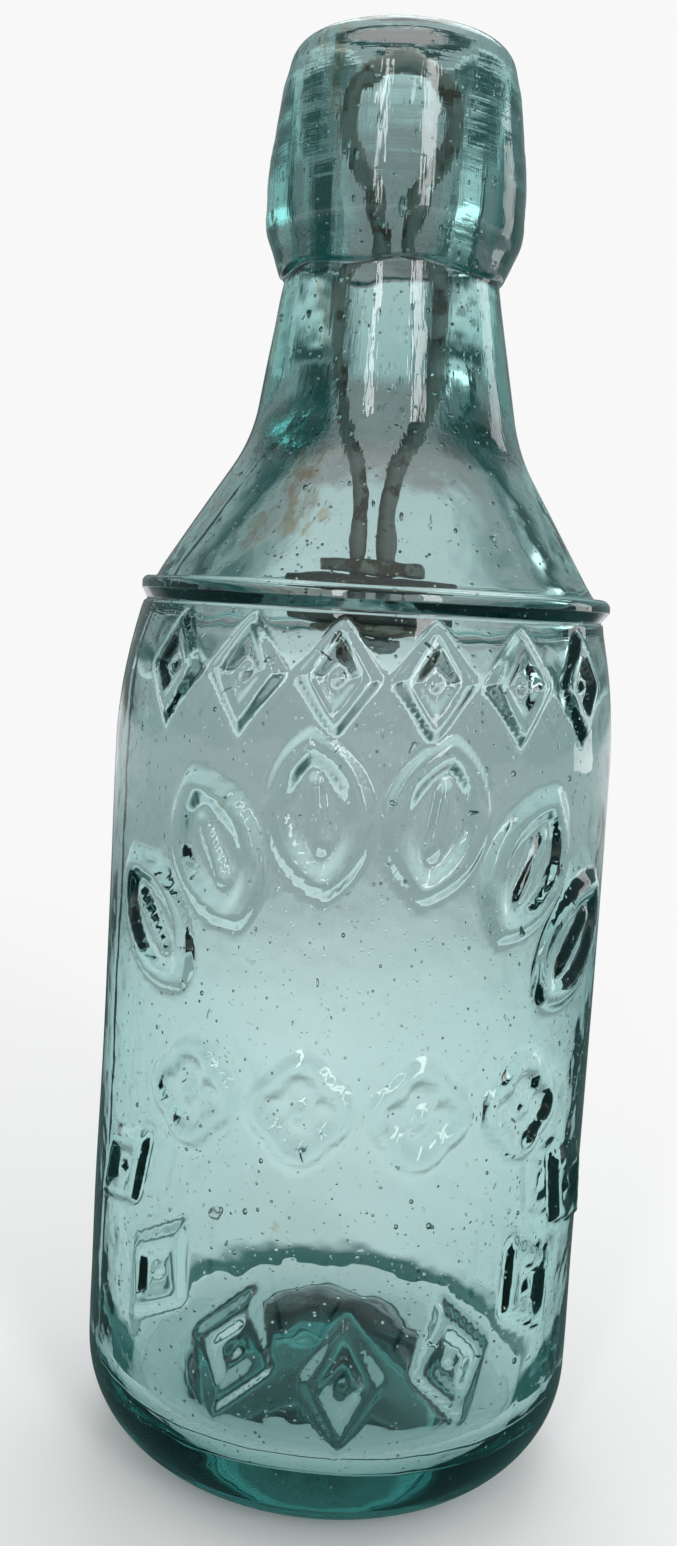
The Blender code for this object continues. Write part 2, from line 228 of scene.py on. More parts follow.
def dome(rim_radius: float, rim_height: float, crown_height: float, spacing: float) -> Array:
    """The arc of a shallow dome, whose sphere has the radius (rim^2 + rise^2) / (2 rise).

    Args:
        rim_radius: Radius of the dome's rim.
        rim_height: Height of the rim.
        crown_height: Height of the crown.
        spacing: About how far apart the points are.

    Returns:
        Points (radius, height) from next to the crown on the axis to just before the rim.
    """
    rise = crown_height - rim_height
    sphere = (rim_radius**2 + rise**2) / (2 * rise)
    sweep = math.asin(rim_radius / sphere)
    steps = max(DOME_STEPS, math.ceil(rim_radius / spacing))
    angle = sweep * np.arange(1, steps) / steps
    return np.stack([sphere * np.sin(angle), crown_height - sphere * (1 - np.cos(angle))], 1)


def outline_normals(outline: Array) -> Array:
    """Unit normals of an outline on the side to the right of its run.

    Args:
        outline: Points (radius, height).

    Returns:
        One normal for each point.
    """
    tangent = np.gradient(outline, axis=0)
    normal = np.stack([tangent[:, 1], -tangent[:, 0]], 1)
    return normal / np.linalg.norm(normal, axis=1, keepdims=True)


def whole_turn(count: int) -> Array:
    """Angles of so many columns, evenly round the axis."""
    return 2 * np.pi * np.arange(count) / count


def from_front(angle: Array) -> Array:
    """Angles counted from the front, between half a turn back and half a turn on."""
    return np.remainder(angle - FRONT + math.pi, 2 * math.pi) - math.pi


def turned_points(outline: Array, angles: Array) -> tuple[Array, Array, Array]:
    """Radius, height and angle of the points of a turned grid, rows along the outline."""
    radius, height = (np.repeat(outline[:, [axis]], len(angles), 1) for axis in (0, 1))
    return radius, height, np.broadcast_to(angles, radius.shape)


def placed(radius: Array, height: Array, angle: Array) -> Array:
    """Points in space from radius, height and angle about Z."""
    return np.stack([radius * np.cos(angle), radius * np.sin(angle), height], -1).reshape(-1, 3)


def quads_between(first: Array, second: Array) -> Array:
    """Triangles between closed rows of as many points.

    Args:
        first: Point numbers of a row, or of several.
        second: Those of the row after it along the outline, or of the rows after them.

    Returns:
        Triangles that face to the right of the rows' run.
    """
    a, b = first, np.roll(first, -1, -1)
    c, d = np.roll(second, -1, -1), second
    return np.concatenate([np.stack([a, b, c], -1), np.stack([a, c, d], -1)], -2).reshape(-1, 3)


def fan_step(coarse: Array, fine: Array, rising: bool) -> Array:
    """Triangles between a closed row and one of twice as many points.

    Args:
        coarse: Point numbers of the row with fewer points.
        fine: Point numbers of the row with twice as many.
        rising: True where the fine row follows the coarse one along the outline.

    Returns:
        Triangles that face to the right of the rows' run.
    """
    here, onward = coarse, np.roll(coarse, -1)
    first, middle, last = fine[0::2], fine[1::2], np.roll(fine[0::2], -1)
    threes = ([here, middle, first], [here, onward, middle], [onward, last, middle])
    faces = np.concatenate([np.stack(three, -1) for three in threes])
    return faces if rising else faces[:, ::-1]


def pole_fan(pole: int, row: Array, opening: bool) -> Array:
    """Triangles from a point on the axis to a closed row, at the outline's start or end."""
    centre, onward = np.full_like(row, pole), np.roll(row, -1)
    return np.stack([centre, onward, row] if opening else [row, onward, centre], -1)


def capped_rows(rows: int, columns: int) -> Array:
    """Triangles of closed rows one after the other, drawn to a pole at both ends.

    Args:
        rows: How many rows there are.
        columns: How many points each has.

    Returns:
        Triangles that face to the right of the rows' run. The poles are the first and the last
        point.
    """
    grid = 1 + np.arange(rows * columns).reshape(rows, columns)
    opening = pole_fan(0, grid[0], opening=True)
    closing = pole_fan(1 + grid.size, grid[-1], opening=False)
    return np.concatenate([quads_between(grid[:-1], grid[1:]), opening, closing])


def round_sheet(radii: Array, height: float, columns: int) -> tuple[Array, Array]:
    """A level round sheet that faces up.

    Args:
        radii: Radii of its rings, from the middle outwards.
        height: Its height.
        columns: How many points a ring has.

    Returns:
        Points, the middle first and then ring by ring, and triangles.
    """
    outline = np.stack([radii, np.full(len(radii), height)], 1)
    rings = placed(*turned_points(outline, whole_turn(columns)))
    grid = 1 + np.arange(len(rings)).reshape(len(radii), -1)
    fan = pole_fan(0, grid[0], opening=True)
    faces = np.concatenate([quads_between(grid[:-1], grid[1:]), fan])[:, ::-1]
    return np.concatenate([[[0.0, 0.0, height]], rings]), faces


def mesh_piece(name: str, points: Array, faces: Array) -> Piece:
    """A smooth-shaded mesh object at the origin.

    Args:
        name: The name of the object and of its mesh.
        points: Places of the points.
        faces: Point numbers of the triangles.

    Returns:
        The object, in the scene.
    """
    mesh = bpy.data.meshes.new(name)
    mesh.vertices.add(len(points))
    mesh.vertices.foreach_set("co", np.ascontiguousarray(points, np.float32).ravel())
    mesh.loops.add(faces.size)
    mesh.loops.foreach_set("vertex_index", np.ascontiguousarray(faces, np.int32).ravel())
    mesh.polygons.add(len(faces))
    mesh.polygons.foreach_set("loop_start", np.arange(0, faces.size, 3, dtype=np.int32))
    mesh.polygons.foreach_set("use_smooth", np.ones(len(faces), bool))
    mesh.update(calc_edges=True)
    mesh.validate()
    piece = bpy.data.objects.new(name, mesh)
    bpy.context.scene.collection.objects.link(piece)
    return piece


def report(piece: Piece) -> None:
    """Says what was built, with its number of triangles."""
    log.info("%s: %d triangles", piece.name, sum(len(p.vertices) - 2 for p in piece.data.polygons))


@dataclass(frozen=True)
class Grain:
    """A noise with so many grains to the metre, or three numbers where the axes differ.

    Detail counts its finer layers, and roughness is their strength. What it marks eases from
    nothing to full as the noise goes through the two values that are shown.
    """

    scale: float | Tone
    detail: float = 2.0
    roughness: float = 0.5
    shown: Span = (0.0, 1.0)


class NodeBench:
    """A small bench for wiring the nodes of a material or of the world."""

    def __init__(self, tree: bpy.types.NodeTree, output: bpy.types.Node) -> None:
        """Takes up a tree with its output node."""
        self.tree = tree
        self.output = output

    def fill(self, node: bpy.types.Node, inputs: Inputs) -> None:
        """Sets a node's inputs, or links them where the value is an output.

        Args:
            node: The node.
            inputs: Values and outputs by the name or number of the input.
        """
        for key, value in inputs.items():
            if isinstance(value, Socket):
                self.tree.links.new(value, node.inputs[key])
            else:
                node.inputs[key].default_value = value

    def add(self, kind: str, inputs: Inputs | None = None, **settings: object) -> bpy.types.Node:
        """Adds a node.

        Args:
            kind: The node's type.
            inputs: Values and outputs by the name or number of the input.
            **settings: The node's own settings.

        Returns:
            The node.
        """
        node = self.tree.nodes.new(kind)
        for key, value in settings.items():
            setattr(node, key, value)
        self.fill(node, inputs or {})
        return node

    def maths(self, kind: str, first: object, second: object = 0.0) -> Socket:
        """A sum, product or other operation on values."""
        return self.add("ShaderNodeMath", {0: first, 1: second}, operation=kind).outputs["Value"]

    def glow(self, kind: str, tone: Tone, strength: float = 1.0) -> Socket:
        """An emission or a background of one tone."""
        return self.add(kind, {"Color": (*tone, 1.0), "Strength": strength}).outputs[0]

    def seen(self) -> Socket:
        """Tells the rays that see from those that only bring light.

        Returns:
            1 for rays of the camera, of a gloss and through glass, and 0 for the rest.
        """
        rays = self.add("ShaderNodeLightPath").outputs
        either = self.maths("MAXIMUM", rays["Is Camera Ray"], rays["Is Glossy Ray"])
        return self.maths("MAXIMUM", either, rays["Is Transmission Ray"])

    def blend(self, share: Socket, first: Socket, second: Socket) -> None:
        """Makes the surface the first shader where the share is 0, and the second where it is 1."""
        mix = self.add("ShaderNodeMixShader", {0: share, 1: first, 2: second})
        self.fill(self.output, {"Surface": mix.outputs[0]})


class MaterialBench(NodeBench):
    """A bench for a new material, with its Principled shader and Object coordinates at hand."""

    # The Mix node's sockets for colours: share, first and second going in, and the result.
    MIX_INPUTS = (0, 6, 7)
    MIX_RESULT = 2

    def __init__(self, name: str) -> None:
        """Starts the material.

        Args:
            name: The material's name.
        """
        self.material = bpy.data.materials.new(name)
        self.material.use_nodes = True
        tree = self.material.node_tree
        super().__init__(tree, tree.nodes["Material Output"])
        self.shader = tree.nodes["Principled BSDF"]
        self.place = self.add("ShaderNodeTexCoord").outputs["Object"]

    def noise(self, grain: Grain) -> Socket:
        """Soft noise.

        Args:
            grain: Its coarseness, detail and roughness.

        Returns:
            The noise, from 0 to 1.
        """
        scale, place = grain.scale, self.place
        if isinstance(scale, tuple):
            mapping = {"Vector": place, "Scale": scale}
            place = self.add("ShaderNodeMapping", mapping, vector_type="POINT").outputs["Vector"]
            scale = 1.0
        inputs = {"Vector": place, "Scale": scale}
        inputs |= {"Detail": grain.detail, "Roughness": grain.roughness}
        return self.add("ShaderNodeTexNoise", inputs).outputs["Fac"]

    def patches(self, grain: Grain) -> Socket:
        """What a noise marks, from 0 to 1."""
        return self.between(self.noise(grain), *grain.shown)

    def cells(self, scale: float, feature: str = "F1") -> Socket:
        """Distance from the middle, or from the edge, of the nearest of scattered cells."""
        inputs = {"Vector": self.place, "Scale": scale}
        return self.add("ShaderNodeTexVoronoi", inputs, feature=feature).outputs["Distance"]

    def along(self, axis: int) -> Socket:
        """The X, Y or Z of the Object coordinates."""
        return self.add("ShaderNodeSeparateXYZ", {"Vector": self.place}).outputs[axis]

    def between(
        self, value: Socket, low: float, high: float, start: float = 0.0, end: float = 1.0
    ) -> Socket:
        """Carries a value from one span over to another, smoothly.

        Args:
            value: The value.
            low: Where the first span starts.
            high: Where the first span ends.
            start: What low becomes.
            end: What high becomes.

        Returns:
            The carried value.
        """
        spans = {"From Min": low, "From Max": high, "To Min": start, "To Max": end}
        inputs = {"Value": value, **spans}
        node = self.add("ShaderNodeMapRange", inputs, interpolation_type="SMOOTHSTEP")
        return node.outputs["Result"]

    def mixed(self, share: Socket, first: Tone | Socket, second: Tone | Socket) -> Socket:
        """A colour between two others.

        Args:
            share: 0 for the first and 1 for the second.
            first: A tone, or an output.
            second: A tone, or an output.

        Returns:
            The mixed colour.
        """
        ends = [(*end, 1.0) if isinstance(end, tuple) else end for end in (first, second)]
        inputs = dict(zip(self.MIX_INPUTS, (share, *ends)))
        return self.add("ShaderNodeMix", inputs, data_type="RGBA").outputs[self.MIX_RESULT]

    def bump(self, height: Socket, depth: float, before: Socket | None = None) -> Socket:
        """A bump, on top of another where one is given.

        Args:
            height: What stands up, from 0 to 1.
            depth: How high 1 is.
            before: The normal of the bump beneath.

        Returns:
            The new normal.
        """
        inputs = {"Strength": 1.0, "Distance": depth, "Height": height}
        if before is not None:
            inputs["Normal"] = before
        return self.add("ShaderNodeBump", inputs).outputs["Normal"]


@dataclass(frozen=True)
class AquaGlass:
    """Old aqua bottle glass: clear skin, iron-green depth, seeds, drag lines, stains and a painted
    sheen.
    """

    index: float = 1.5
    swallowed: Tone = (0.0, 0.545, 0.525)
    depth_density: float = 68.0
    # Painted light: a teal sheen on every face, for the glow of light piped along the wall and
    # leaking out.
    painted_sheen_tint: Tone = (0.0, 0.62, 0.58)
    painted_sheen: float = 0.09
    painted_sheen_spread: float = 0.6
    haze: Grain = Grain(90.0, 3.0, shown=(0.35, 0.8))
    roughness: Span = (0.0, 0.05)

    clean: Tone = WHITE
    stain: Tone = (0.78, 0.60, 0.42)
    stains: Grain = Grain(260.0, 3.0, 0.6, (0.70, 0.78))
    rust: Tone = (0.62, 0.30, 0.10)
    crust: Grain = Grain((330.0, 330.0, 45.0), 4.0, 0.6, (0.54, 0.66))
    crust_share: float = 0.75
    crust_side: Span = (-7.5 * MM, -5.0 * MM)
    crust_foot: Span = (108.0 * MM, 116.0 * MM)
    dirt: Tone = (0.16, 0.13, 0.11)
    dirty: Grain = Grain(160.0, 1.0, shown=(0.56, 0.60))
    speck_grain: float = 430.0
    speck_edge: Span = (0.07, 0.10)

    ripple: Grain = Grain(85.0, 2.0, 0.45)
    ripple_depth: float = 0.25 * MM
    fine_ripple: Grain = Grain(300.0, 1.0)
    fine_ripple_depth: float = 0.05 * MM
    lip_drag: Grain = Grain((40.0, 40.0, 1100.0), 3.0, 0.6)
    lip_share: float = 0.35
    lip_edge: float = 1.0 * MM
    neck_drag: Grain = Grain((620.0, 620.0, 26.0), 3.0, 0.6)
    neck_edge: float = 8.0 * MM
    drag_depth: float = 0.07 * MM
    seed_grain: float = 620.0
    seed_size: float = 0.13
    seed_depth: float = 0.10 * MM
    mould_line: float = 4.6 * MM
    mould_line_width: float = 0.7 * MM
    mould_line_depth: float = 0.12 * MM

    def colour(self, bench: MaterialBench) -> Socket:
        """The skin's colour: clean, with stains, a rusty crust at the neck's left, and specks.

        Args:
            bench: The material's bench.

        Returns:
            The colour.
        """
        left = bench.between(bench.along(0), *self.crust_side, 1.0, 0.0)
        above = bench.between(bench.along(2), *self.crust_foot)
        crust = bench.maths("MULTIPLY", left, above)
        crust = bench.maths("MULTIPLY", bench.patches(self.crust), crust)
        specks = bench.between(bench.cells(self.speck_grain), *self.speck_edge, 1.0, 0.0)
        specks = bench.maths("MULTIPLY", specks, bench.patches(self.dirty))
        tone = bench.mixed(bench.patches(self.stains), self.clean, self.stain)
        tone = bench.mixed(bench.maths("MULTIPLY", crust, self.crust_share), tone, self.rust)
        return bench.mixed(specks, tone, self.dirt)

    def relief(self, bench: MaterialBench, lip_foot: float, neck_foot: float) -> Socket:
        """The fine relief of the skin: ripples, drag lines, seeds and the base's mould line.

        Args:
            bench: The material's bench.
            lip_foot: Where the drag lines round the lip start.
            neck_foot: Where the drag lines along the neck start.

        Returns:
            The normal.
        """
        height = bench.along(2)
        on_lip = bench.between(height, lip_foot - self.lip_edge, lip_foot + self.lip_edge)
        on_lip = bench.maths("MULTIPLY", on_lip, self.lip_share)
        on_lip = bench.maths("MULTIPLY", bench.noise(self.lip_drag), on_lip)
        on_neck = bench.between(height, neck_foot, neck_foot + self.neck_edge)
        on_neck = bench.maths("MULTIPLY", bench.noise(self.neck_drag), on_neck)
        seeds = bench.between(bench.cells(self.seed_grain), 0.0, self.seed_size, 1.0, 0.0)
        off_line = bench.maths("ABSOLUTE", bench.maths("SUBTRACT", height, self.mould_line))
        line = bench.between(off_line, 0.0, self.mould_line_width, 1.0, 0.0)
        normal = bench.bump(bench.noise(self.ripple), self.ripple_depth)
        normal = bench.bump(bench.noise(self.fine_ripple), self.fine_ripple_depth, normal)
        normal = bench.bump(bench.maths("ADD", on_lip, on_neck), self.drag_depth, normal)
        normal = bench.bump(seeds, self.seed_depth, normal)
        return bench.bump(line, self.mould_line_depth, normal)

    def material(self, lip_foot: float, neck_foot: float) -> Finish:
        """The glass.

        Args:
            lip_foot: Where the drag lines round the lip start.
            neck_foot: Where the drag lines along the neck start.

        Returns:
            The material.
        """
        bench = MaterialBench("aqua_glass")
        inputs = {
            "Base Color": self.colour(bench),
            "Transmission Weight": 1.0,
            "IOR": self.index,
            # The painted teal sheen: a glow of light, not a colour of the glass.
            "Sheen Weight": self.painted_sheen,
            "Sheen Roughness": self.painted_sheen_spread,
            "Sheen Tint": (*self.painted_sheen_tint, 1.0),
            "Roughness": bench.between(bench.noise(self.haze), *self.haze.shown, *self.roughness),
            "Normal": self.relief(bench, lip_foot, neck_foot),
        }
        bench.fill(bench.shader, inputs)
        depth = {"Color": (*self.swallowed, 1.0), "Density": self.depth_density}
        volume = bench.add("ShaderNodeVolumeAbsorption", depth).outputs["Volume"]
        bench.fill(bench.output, {"Volume": volume})
        return bench.material


@dataclass(frozen=True)
class AgedMetal:
    """Dulled tinned metal with brown rust that gathers in patches."""

    name: str
    bright: Tone
    rust: Tone
    rust_share: float
    gloss: float
    matt: float = 0.75
    metallic: Span = (0.95, 0.25)
    patches: Grain = Grain(330.0, 6.0, 0.65, (0.62, 0.70))
    dulled: Span = (0.35, 0.7)
    tones: Grain = Grain(1500.0, 3.0)
    tone_share: float = 0.72
    pits: Grain = Grain(2600.0, 4.0, 0.6)
    pit_depth: float = 0.06 * MM
    rust_depth: float = 0.08 * MM

    def material(self) -> Finish:
        """The metal, rough and matt where it has rusted.

        Returns:
            The material.
        """
        bench = MaterialBench(self.name)
        patches = bench.noise(self.patches)
        low, high = (edge - self.rust_share / 2 for edge in self.patches.shown)
        rusted = bench.between(patches, low, high)
        darker = tuple(part * self.tone_share for part in self.bright)
        tone = bench.mixed(bench.noise(self.tones), self.bright, darker)
        pits = bench.bump(bench.noise(self.pits), self.pit_depth)
        inputs = {
            "Base Color": bench.mixed(rusted, tone, self.rust),
            "Metallic": bench.between(rusted, 0.0, 1.0, *self.metallic),
            "Roughness": bench.between(patches, *self.dulled, self.gloss, self.matt),
            "Normal": bench.bump(rusted, self.rust_depth, pits),
        }
        bench.fill(bench.shader, inputs)
        return bench.material


@dataclass(frozen=True)
class AgedRubber:
    """Hardened dark rubber with a dusty bloom and fine cracks."""

    name: str = "old_rubber"
    dark: Tone = (0.035, 0.026, 0.022)
    bloom: Tone = (0.13, 0.10, 0.08)
    dust: Grain = Grain(420.0, 5.0, 0.6, (0.42, 0.72))
    roughness: Span = (0.55, 0.85)
    crack_grain: float = 700.0
    crack_width: float = 0.08
    crack_depth: float = 0.09 * MM

    def material(self) -> Finish:
        """The rubber, with cracks pressed in and the bloom in patches.

        Returns:
            The material.
        """
        bench = MaterialBench(self.name)
        dusty = bench.patches(self.dust)
        edges = bench.cells(self.crack_grain, "DISTANCE_TO_EDGE")
        whole = bench.between(edges, 0.0, self.crack_width)
        inputs = {
            "Base Color": bench.mixed(dusty, self.dark, self.bloom),
            "Roughness": bench.between(dusty, 0.0, 1.0, *self.roughness),
            "Normal": bench.bump(whole, self.crack_depth),
        }
        bench.fill(bench.shader, inputs)
        return bench.material


@dataclass(frozen=True)
class Row:
    """Ornaments side by side at one height."""

    motif: Motif
    count: int
    size: Span
    stroke: float
    height: float
    spacing: float

    def places(self) -> list[float]:
        """Places of the ornaments, even on both sides of the row's middle."""
        return [(index - (self.count - 1) / 2) * self.spacing for index in range(self.count)]

    def placings(self) -> Iterator[Placing]:
        """The place aside, the height and the lean of each ornament."""
        for aside in self.places():
            yield aside, self.height, 0.0


@dataclass(frozen=True)
class Fan(Row):
    """Ornaments on an arc, each leaning by a share of its turn. The spacing is an angle.

    The arc stands over a centre at the height, or hangs under it where the radius is negative.
    """

    radius: float
    share: float = 0.72

    def placings(self) -> Iterator[Placing]:
        """Places the ornaments on the arc.

        Yields:
            The place aside, the height and the lean of each ornament.
        """
        for turn in self.places():
            aside, rise = self.radius * math.sin(turn), self.radius * math.cos(turn)
            yield aside, self.height + rise, turn * self.share


@dataclass(frozen=True)
class Garland:
    """Pressed ornament of leaves, lozenges and quatrefoils on the front of the body.

    Places are given on the unrolled wall: sideways from the front's middle, and height. From
    the top they are a row under the shoulder ring, a standing arch, a row across the middle,
    and a hanging arc over the heel.
    """

    edge: float = 1.05 * MM
    relief: float = 0.70 * MM
    bead: float = 0.5 * MM
    rib_half: Span = (0.7 * MM, 3.5 * MM)
    lobe_share: float = 0.52
    wall_radius: float = 30.2 * MM
    shift: float = 2.2 * MM
    under_ring: Row = Row(Motif.LOZENGE, 6, (6.4 * MM, 9.0 * MM), 1.9 * MM, 99.2 * MM, 10.6 * MM)
    arch: Fan = Fan(
        Motif.LEAF, 6, (9.0 * MM, 15.0 * MM), 2.4 * MM, 53.5 * MM, math.radians(23.2), 32.0 * MM
    )
    middle: Row = Row(Motif.QUATREFOIL, 4, (10.0 * MM, 10.0 * MM), 1.8 * MM, 52.4 * MM, 13.2 * MM)
    over_heel: Fan = Fan(
        Motif.LOZENGE, 7, (7.0 * MM, 11.4 * MM), 2.0 * MM, 57.0 * MM, math.radians(20.6), -35.2 * MM
    )

    def stroke_distance(self, row: Row, x: Array, y: Array) -> Array:
        """Distance from each place to the middle of the nearest stroke of a row's ornament.

        A lozenge is where |x|/a + |y|/b is 1, round a bead. A leaf is the overlap of two
        circles, with a rib along its middle. A quatrefoil is the edge of four circles that
        run into each other, round a bead.

        Args:
            row: The ornament's row.
            x: Places across the ornament.
            y: Places along it.

        Returns:
            One distance for each place.
        """
        half_width, half_height = row.size[0] / 2, row.size[1] / 2
        if row.motif is Motif.LEAF:
            arc = (half_width**2 + half_height**2) / (2 * half_width)
            edge = np.hypot(np.abs(x) + arc - half_width, y) - arc
            rib = np.hypot(x, np.maximum(np.abs(y) - self.rib_half[1], 0.0))
            return np.minimum(np.abs(edge), rib + row.stroke / 2 - self.rib_half[0])
        if row.motif is Motif.LOZENGE:
            reach = np.abs(x) * half_height + np.abs(y) * half_width
            edge = (reach - half_width * half_height) / math.hypot(half_width, half_height)
        else:
            lobe = half_height * self.lobe_share
            upright = np.hypot(x, np.abs(y) - (half_height - lobe)) - lobe
            level = np.hypot(np.abs(x) - (half_width - lobe), y) - lobe
            edge = np.minimum(upright, level)
        return np.minimum(np.abs(edge), np.hypot(x, y) + self.bead)

    def rise(self, angle: Array, height: Array) -> Array:
        """How far the ornament stands out of the wall, eased over the edge of every stroke.

        Args:
            angle: Angle about the axis of each place.
            height: Height of each place.

        Returns:
            One rise for each place.
        """
        aside = from_front(angle) * self.wall_radius - self.shift
        inside = np.full(angle.shape, -self.edge)
        for row in (self.under_ring, self.arch, self.middle, self.over_heel):
            for u, z, lean in row.placings():
                x, y = aside - u, height - z
                across = x * math.cos(lean) - y * math.sin(lean)
                along = x * math.sin(lean) + y * math.cos(lean)
                reach = row.stroke / 2 - self.stroke_distance(row, across, along)
                inside = np.maximum(inside, reach)
        return self.relief * smooth_step(inside / self.edge + 0.5)


@dataclass(frozen=True)
class Seeds:
    """Small closed bubbles in the thickness of the wall, turned inside out as voids are.

    Each is a ball, drawn out along the height, and more so in the neck and lip. Heights and
    sizes are in millimetres.
    """

    random_seed: int = 5
    count: int = 850
    sides: int = 6
    rings: int = 3
    heights: Span = (16.0, 166.0)
    neck_foot: float = 112.0
    usual_size: float = 0.15
    size_spread: float = 0.45
    sizes: Span = (0.07, 0.40)
    depths: Span = (0.25, 0.75)
    drawn_in_neck: Span = (1.2, 2.6)
    drawn_in_body: Span = (1.0, 1.4)

    def ball(self) -> Array:
        """A ball of radius 1.

        Returns:
            Its points, from pole to pole.
        """
        tilt, turn = np.pi * (np.arange(self.rings) + 1) / (self.rings + 1), whole_turn(self.sides)
        aside, deep = (np.outer(np.sin(tilt), way(turn)).ravel() for way in (np.cos, np.sin))
        rows = np.stack([aside, deep, np.repeat(np.cos(tilt), self.sides)], 1)
        return np.concatenate([[[0, 0, 1.0]], rows, [[0, 0, -1.0]]])

    def scattered(self, outer: Array, inner: Array) -> tuple[Array, Array]:
        """Places and sizes of the seeds between the wall's two faces.

        Args:
            outer: Outline of the outside, rising.
            inner: Outline of the inside, rising.

        Returns:
            The seeds' middles, and their half sizes along X, Y and Z.
        """
        rng = np.random.default_rng(self.random_seed)
        height = rng.uniform(*self.heights, self.count) * MM
        far = np.interp(height, outer[:, 1], outer[:, 0])
        near = np.interp(height, inner[:, 1], inner[:, 0])
        size = rng.lognormal(math.log(self.usual_size), self.size_spread, self.count)
        size = np.clip(size, *self.sizes) * MM
        radius = near + (far - near) * rng.uniform(*self.depths, self.count)
        angle = rng.uniform(0.0, 2.0 * math.pi, self.count)
        in_neck = rng.uniform(*self.drawn_in_neck, self.count)
        in_body = rng.uniform(*self.drawn_in_body, self.count)
        drawn = np.where(height > self.neck_foot * MM, in_neck, in_body)
        return placed(radius, height, angle), np.stack([size, size, size * drawn], 1)

    def voids(self, centre: Array, stretch: Array, first: int) -> tuple[Array, Array]:
        """The seeds' skins.

        Args:
            centre: Their middles.
            stretch: Their half sizes.
            first: The number of the first new point.

        Returns:
            Points and triangles.
        """
        ball = self.ball()
        points = (centre[:, None, :] + ball[None] * stretch[:, None, :]).reshape(-1, 3)
        starts = first + np.arange(self.count)[:, None, None] * len(ball)
        return points, (starts + capped_rows(self.rings, self.sides)[None]).reshape(-1, 3)


@dataclass
class FusedGlass:
    """The whole glass as one closed skin: outside, lip, bore, inside and kicked-up floor.

    The lean's heights and offsets are in millimetres.
    """

    corners: tuple[Corner, ...] = (
        (14.5, 0.0, 1.2, 0.6),
        (30.62, 0.0, 13.2, 0.9),
        (30.08, 96.1, 64.0, 0.56),
        (27.75, 105.9, 0.3, 0.25),
        (27.35, 106.2, 0.2, 0.25),
        (28.2, 107.5, 0.35, 0.25),
        (28.2, 108.9, 0.9, 0.3),
        (26.4, 108.9, 0.5, 0.9),
        (16.0, 125.6, 20.0, 0.9),
        (12.7, 144.7, 0.6, 0.4),
        (13.3, 145.1, 0.5, 0.4),
        (15.2, 149.8, 6.0, 0.7),
        (15.2, 156.0, 22.0, 0.8),
        (14.0, 165.0, 22.0, 0.8),
        (12.5, 170.96, 4.2, 0.6),
        (8.6, 170.96, 1.7, 1.2),
        (7.9, 150.3, 8.0, 1.4),
        (7.9, 130.66, 18.0, 1.3),
        (26.0, 101.6, 25.0, 1.8),
        (26.0, 8.0, 6.0, 0.9),
        (18.5, 8.0, 3.0, 0.8),
    )
    push_up_height: float = 4.5 * MM
    kick_height: float = 16.5 * MM
    under_spacing: float = 1.3 * MM
    over_spacing: float = 1.4 * MM
    pole_spacing: float = 0.6 * MM
    top: float = 170.96 * MM
    crown_bias: float = 0.01
    dense: Span = (9.0 * MM, 106.0 * MM)
    front_reach: float = math.radians(96.0)
    front_columns: int = 200
    back_columns: int = 80

    lean_heights: tuple[float, ...] = (0.0, 30.0, 60.0, 95.0, 108.0, 126.0, 145.0, 171.0)
    lean_offsets: tuple[float, ...] = (0.0, 0.0, 0.14, 0.0, 0.1, 0.45, -0.07, -0.16)
    lean_steps: int = 342
    lean_smoothing: float = 14.0 * MM
    ring_shift: float = 0.28 * MM
    ring_middle: float = 107.6 * MM
    ring_reach: float = 1.6 * MM

    walls: Band = Band(14.0 * MM, 140.0 * MM, 12.0 * MM)
    outer_waves: float = 0.07 * MM
    outer_drift: Drift = Drift(11, 7, 26.0 * MM)
    outer_shares: Span = (0.35, 0.65)
    inner_waves: float = 0.22 * MM
    inner_drift: Drift = Drift(23, 5, 34.0 * MM)
    inner_shares: Span = (0.15, 0.85)
    axis_calm: float = 6.0 * MM
    foot_calm: float = 5.0 * MM
    top_calm: float = 3.0 * MM

    garland: Garland = Garland()
    ornamented: Band = Band(12.0 * MM, 105.0 * MM, 2.0 * MM)
    front_flat: float = 0.58 * MM
    front_width: float = 0.38
    flattened: Band = Band(9.0 * MM, 92.0 * MM, 10.0 * MM)
    seam_height: float = 0.16 * MM
    seam_width: float = 0.55 * MM
    seam_turn: float = math.radians(9.0)
    seamed: Band = Band(15.0 * MM, 137.0 * MM, 8.0 * MM)
    tool_marks: float = 0.025 * MM
    tool_rings: Drift = Drift(31, 0, 1.4 * MM)
    tool_swirl: Drift = Drift(37, 3, 3.0 * MM)
    swirl_share: float = 0.6
    tooled: Band = Band(147.0 * MM, 167.0 * MM, 3.0 * MM)
    lip_foot: float = 145.0 * MM
    lip_foot_reach: float = 1.8 * MM
    wander: float = 0.30 * MM
    wander_drift: Drift = Drift(41, 6, 1.0)
    neck_foot: float = 118.0 * MM
    seeds: Seeds = Seeds()
    finish: AquaGlass = AquaGlass()

    def outline(self) -> Array:
        """The closed outline from beside the push-up's crown, round to beside the kick's crown.

        Returns:
            Points (radius, height).
        """
        corners = in_metres(self.corners)
        foot, floor = corners[0], corners[-1]
        under = dome(foot[0], 0.0, self.push_up_height, self.under_spacing)
        over = dome(floor[0], floor[1], self.kick_height, self.over_spacing)[::-1]
        start = (*under[-1], 0.0, self.pole_spacing)
        end = (*over[0], 0.0, self.pole_spacing)
        return np.concatenate([under[:-1], rounded_outline([start, *corners, end]), over[1:]])

    def crown(self, outline: Array) -> int:
        """Number of the outline's highest point, the innermost where several are level."""
        return int(np.argmax(outline[:, 1] - outline[:, 0] * self.crown_bias))

    def column_angles(self) -> Array:
        """Places the columns closer together on the front, where the ornament is.

        Returns:
            Their angles.
        """
        reach = self.front_reach
        ahead = np.linspace(-reach, reach, self.front_columns + 1)[:-1]
        behind = np.linspace(reach, 2 * math.pi - reach, self.back_columns + 1)[:-1]
        return FRONT + np.concatenate([ahead, behind])

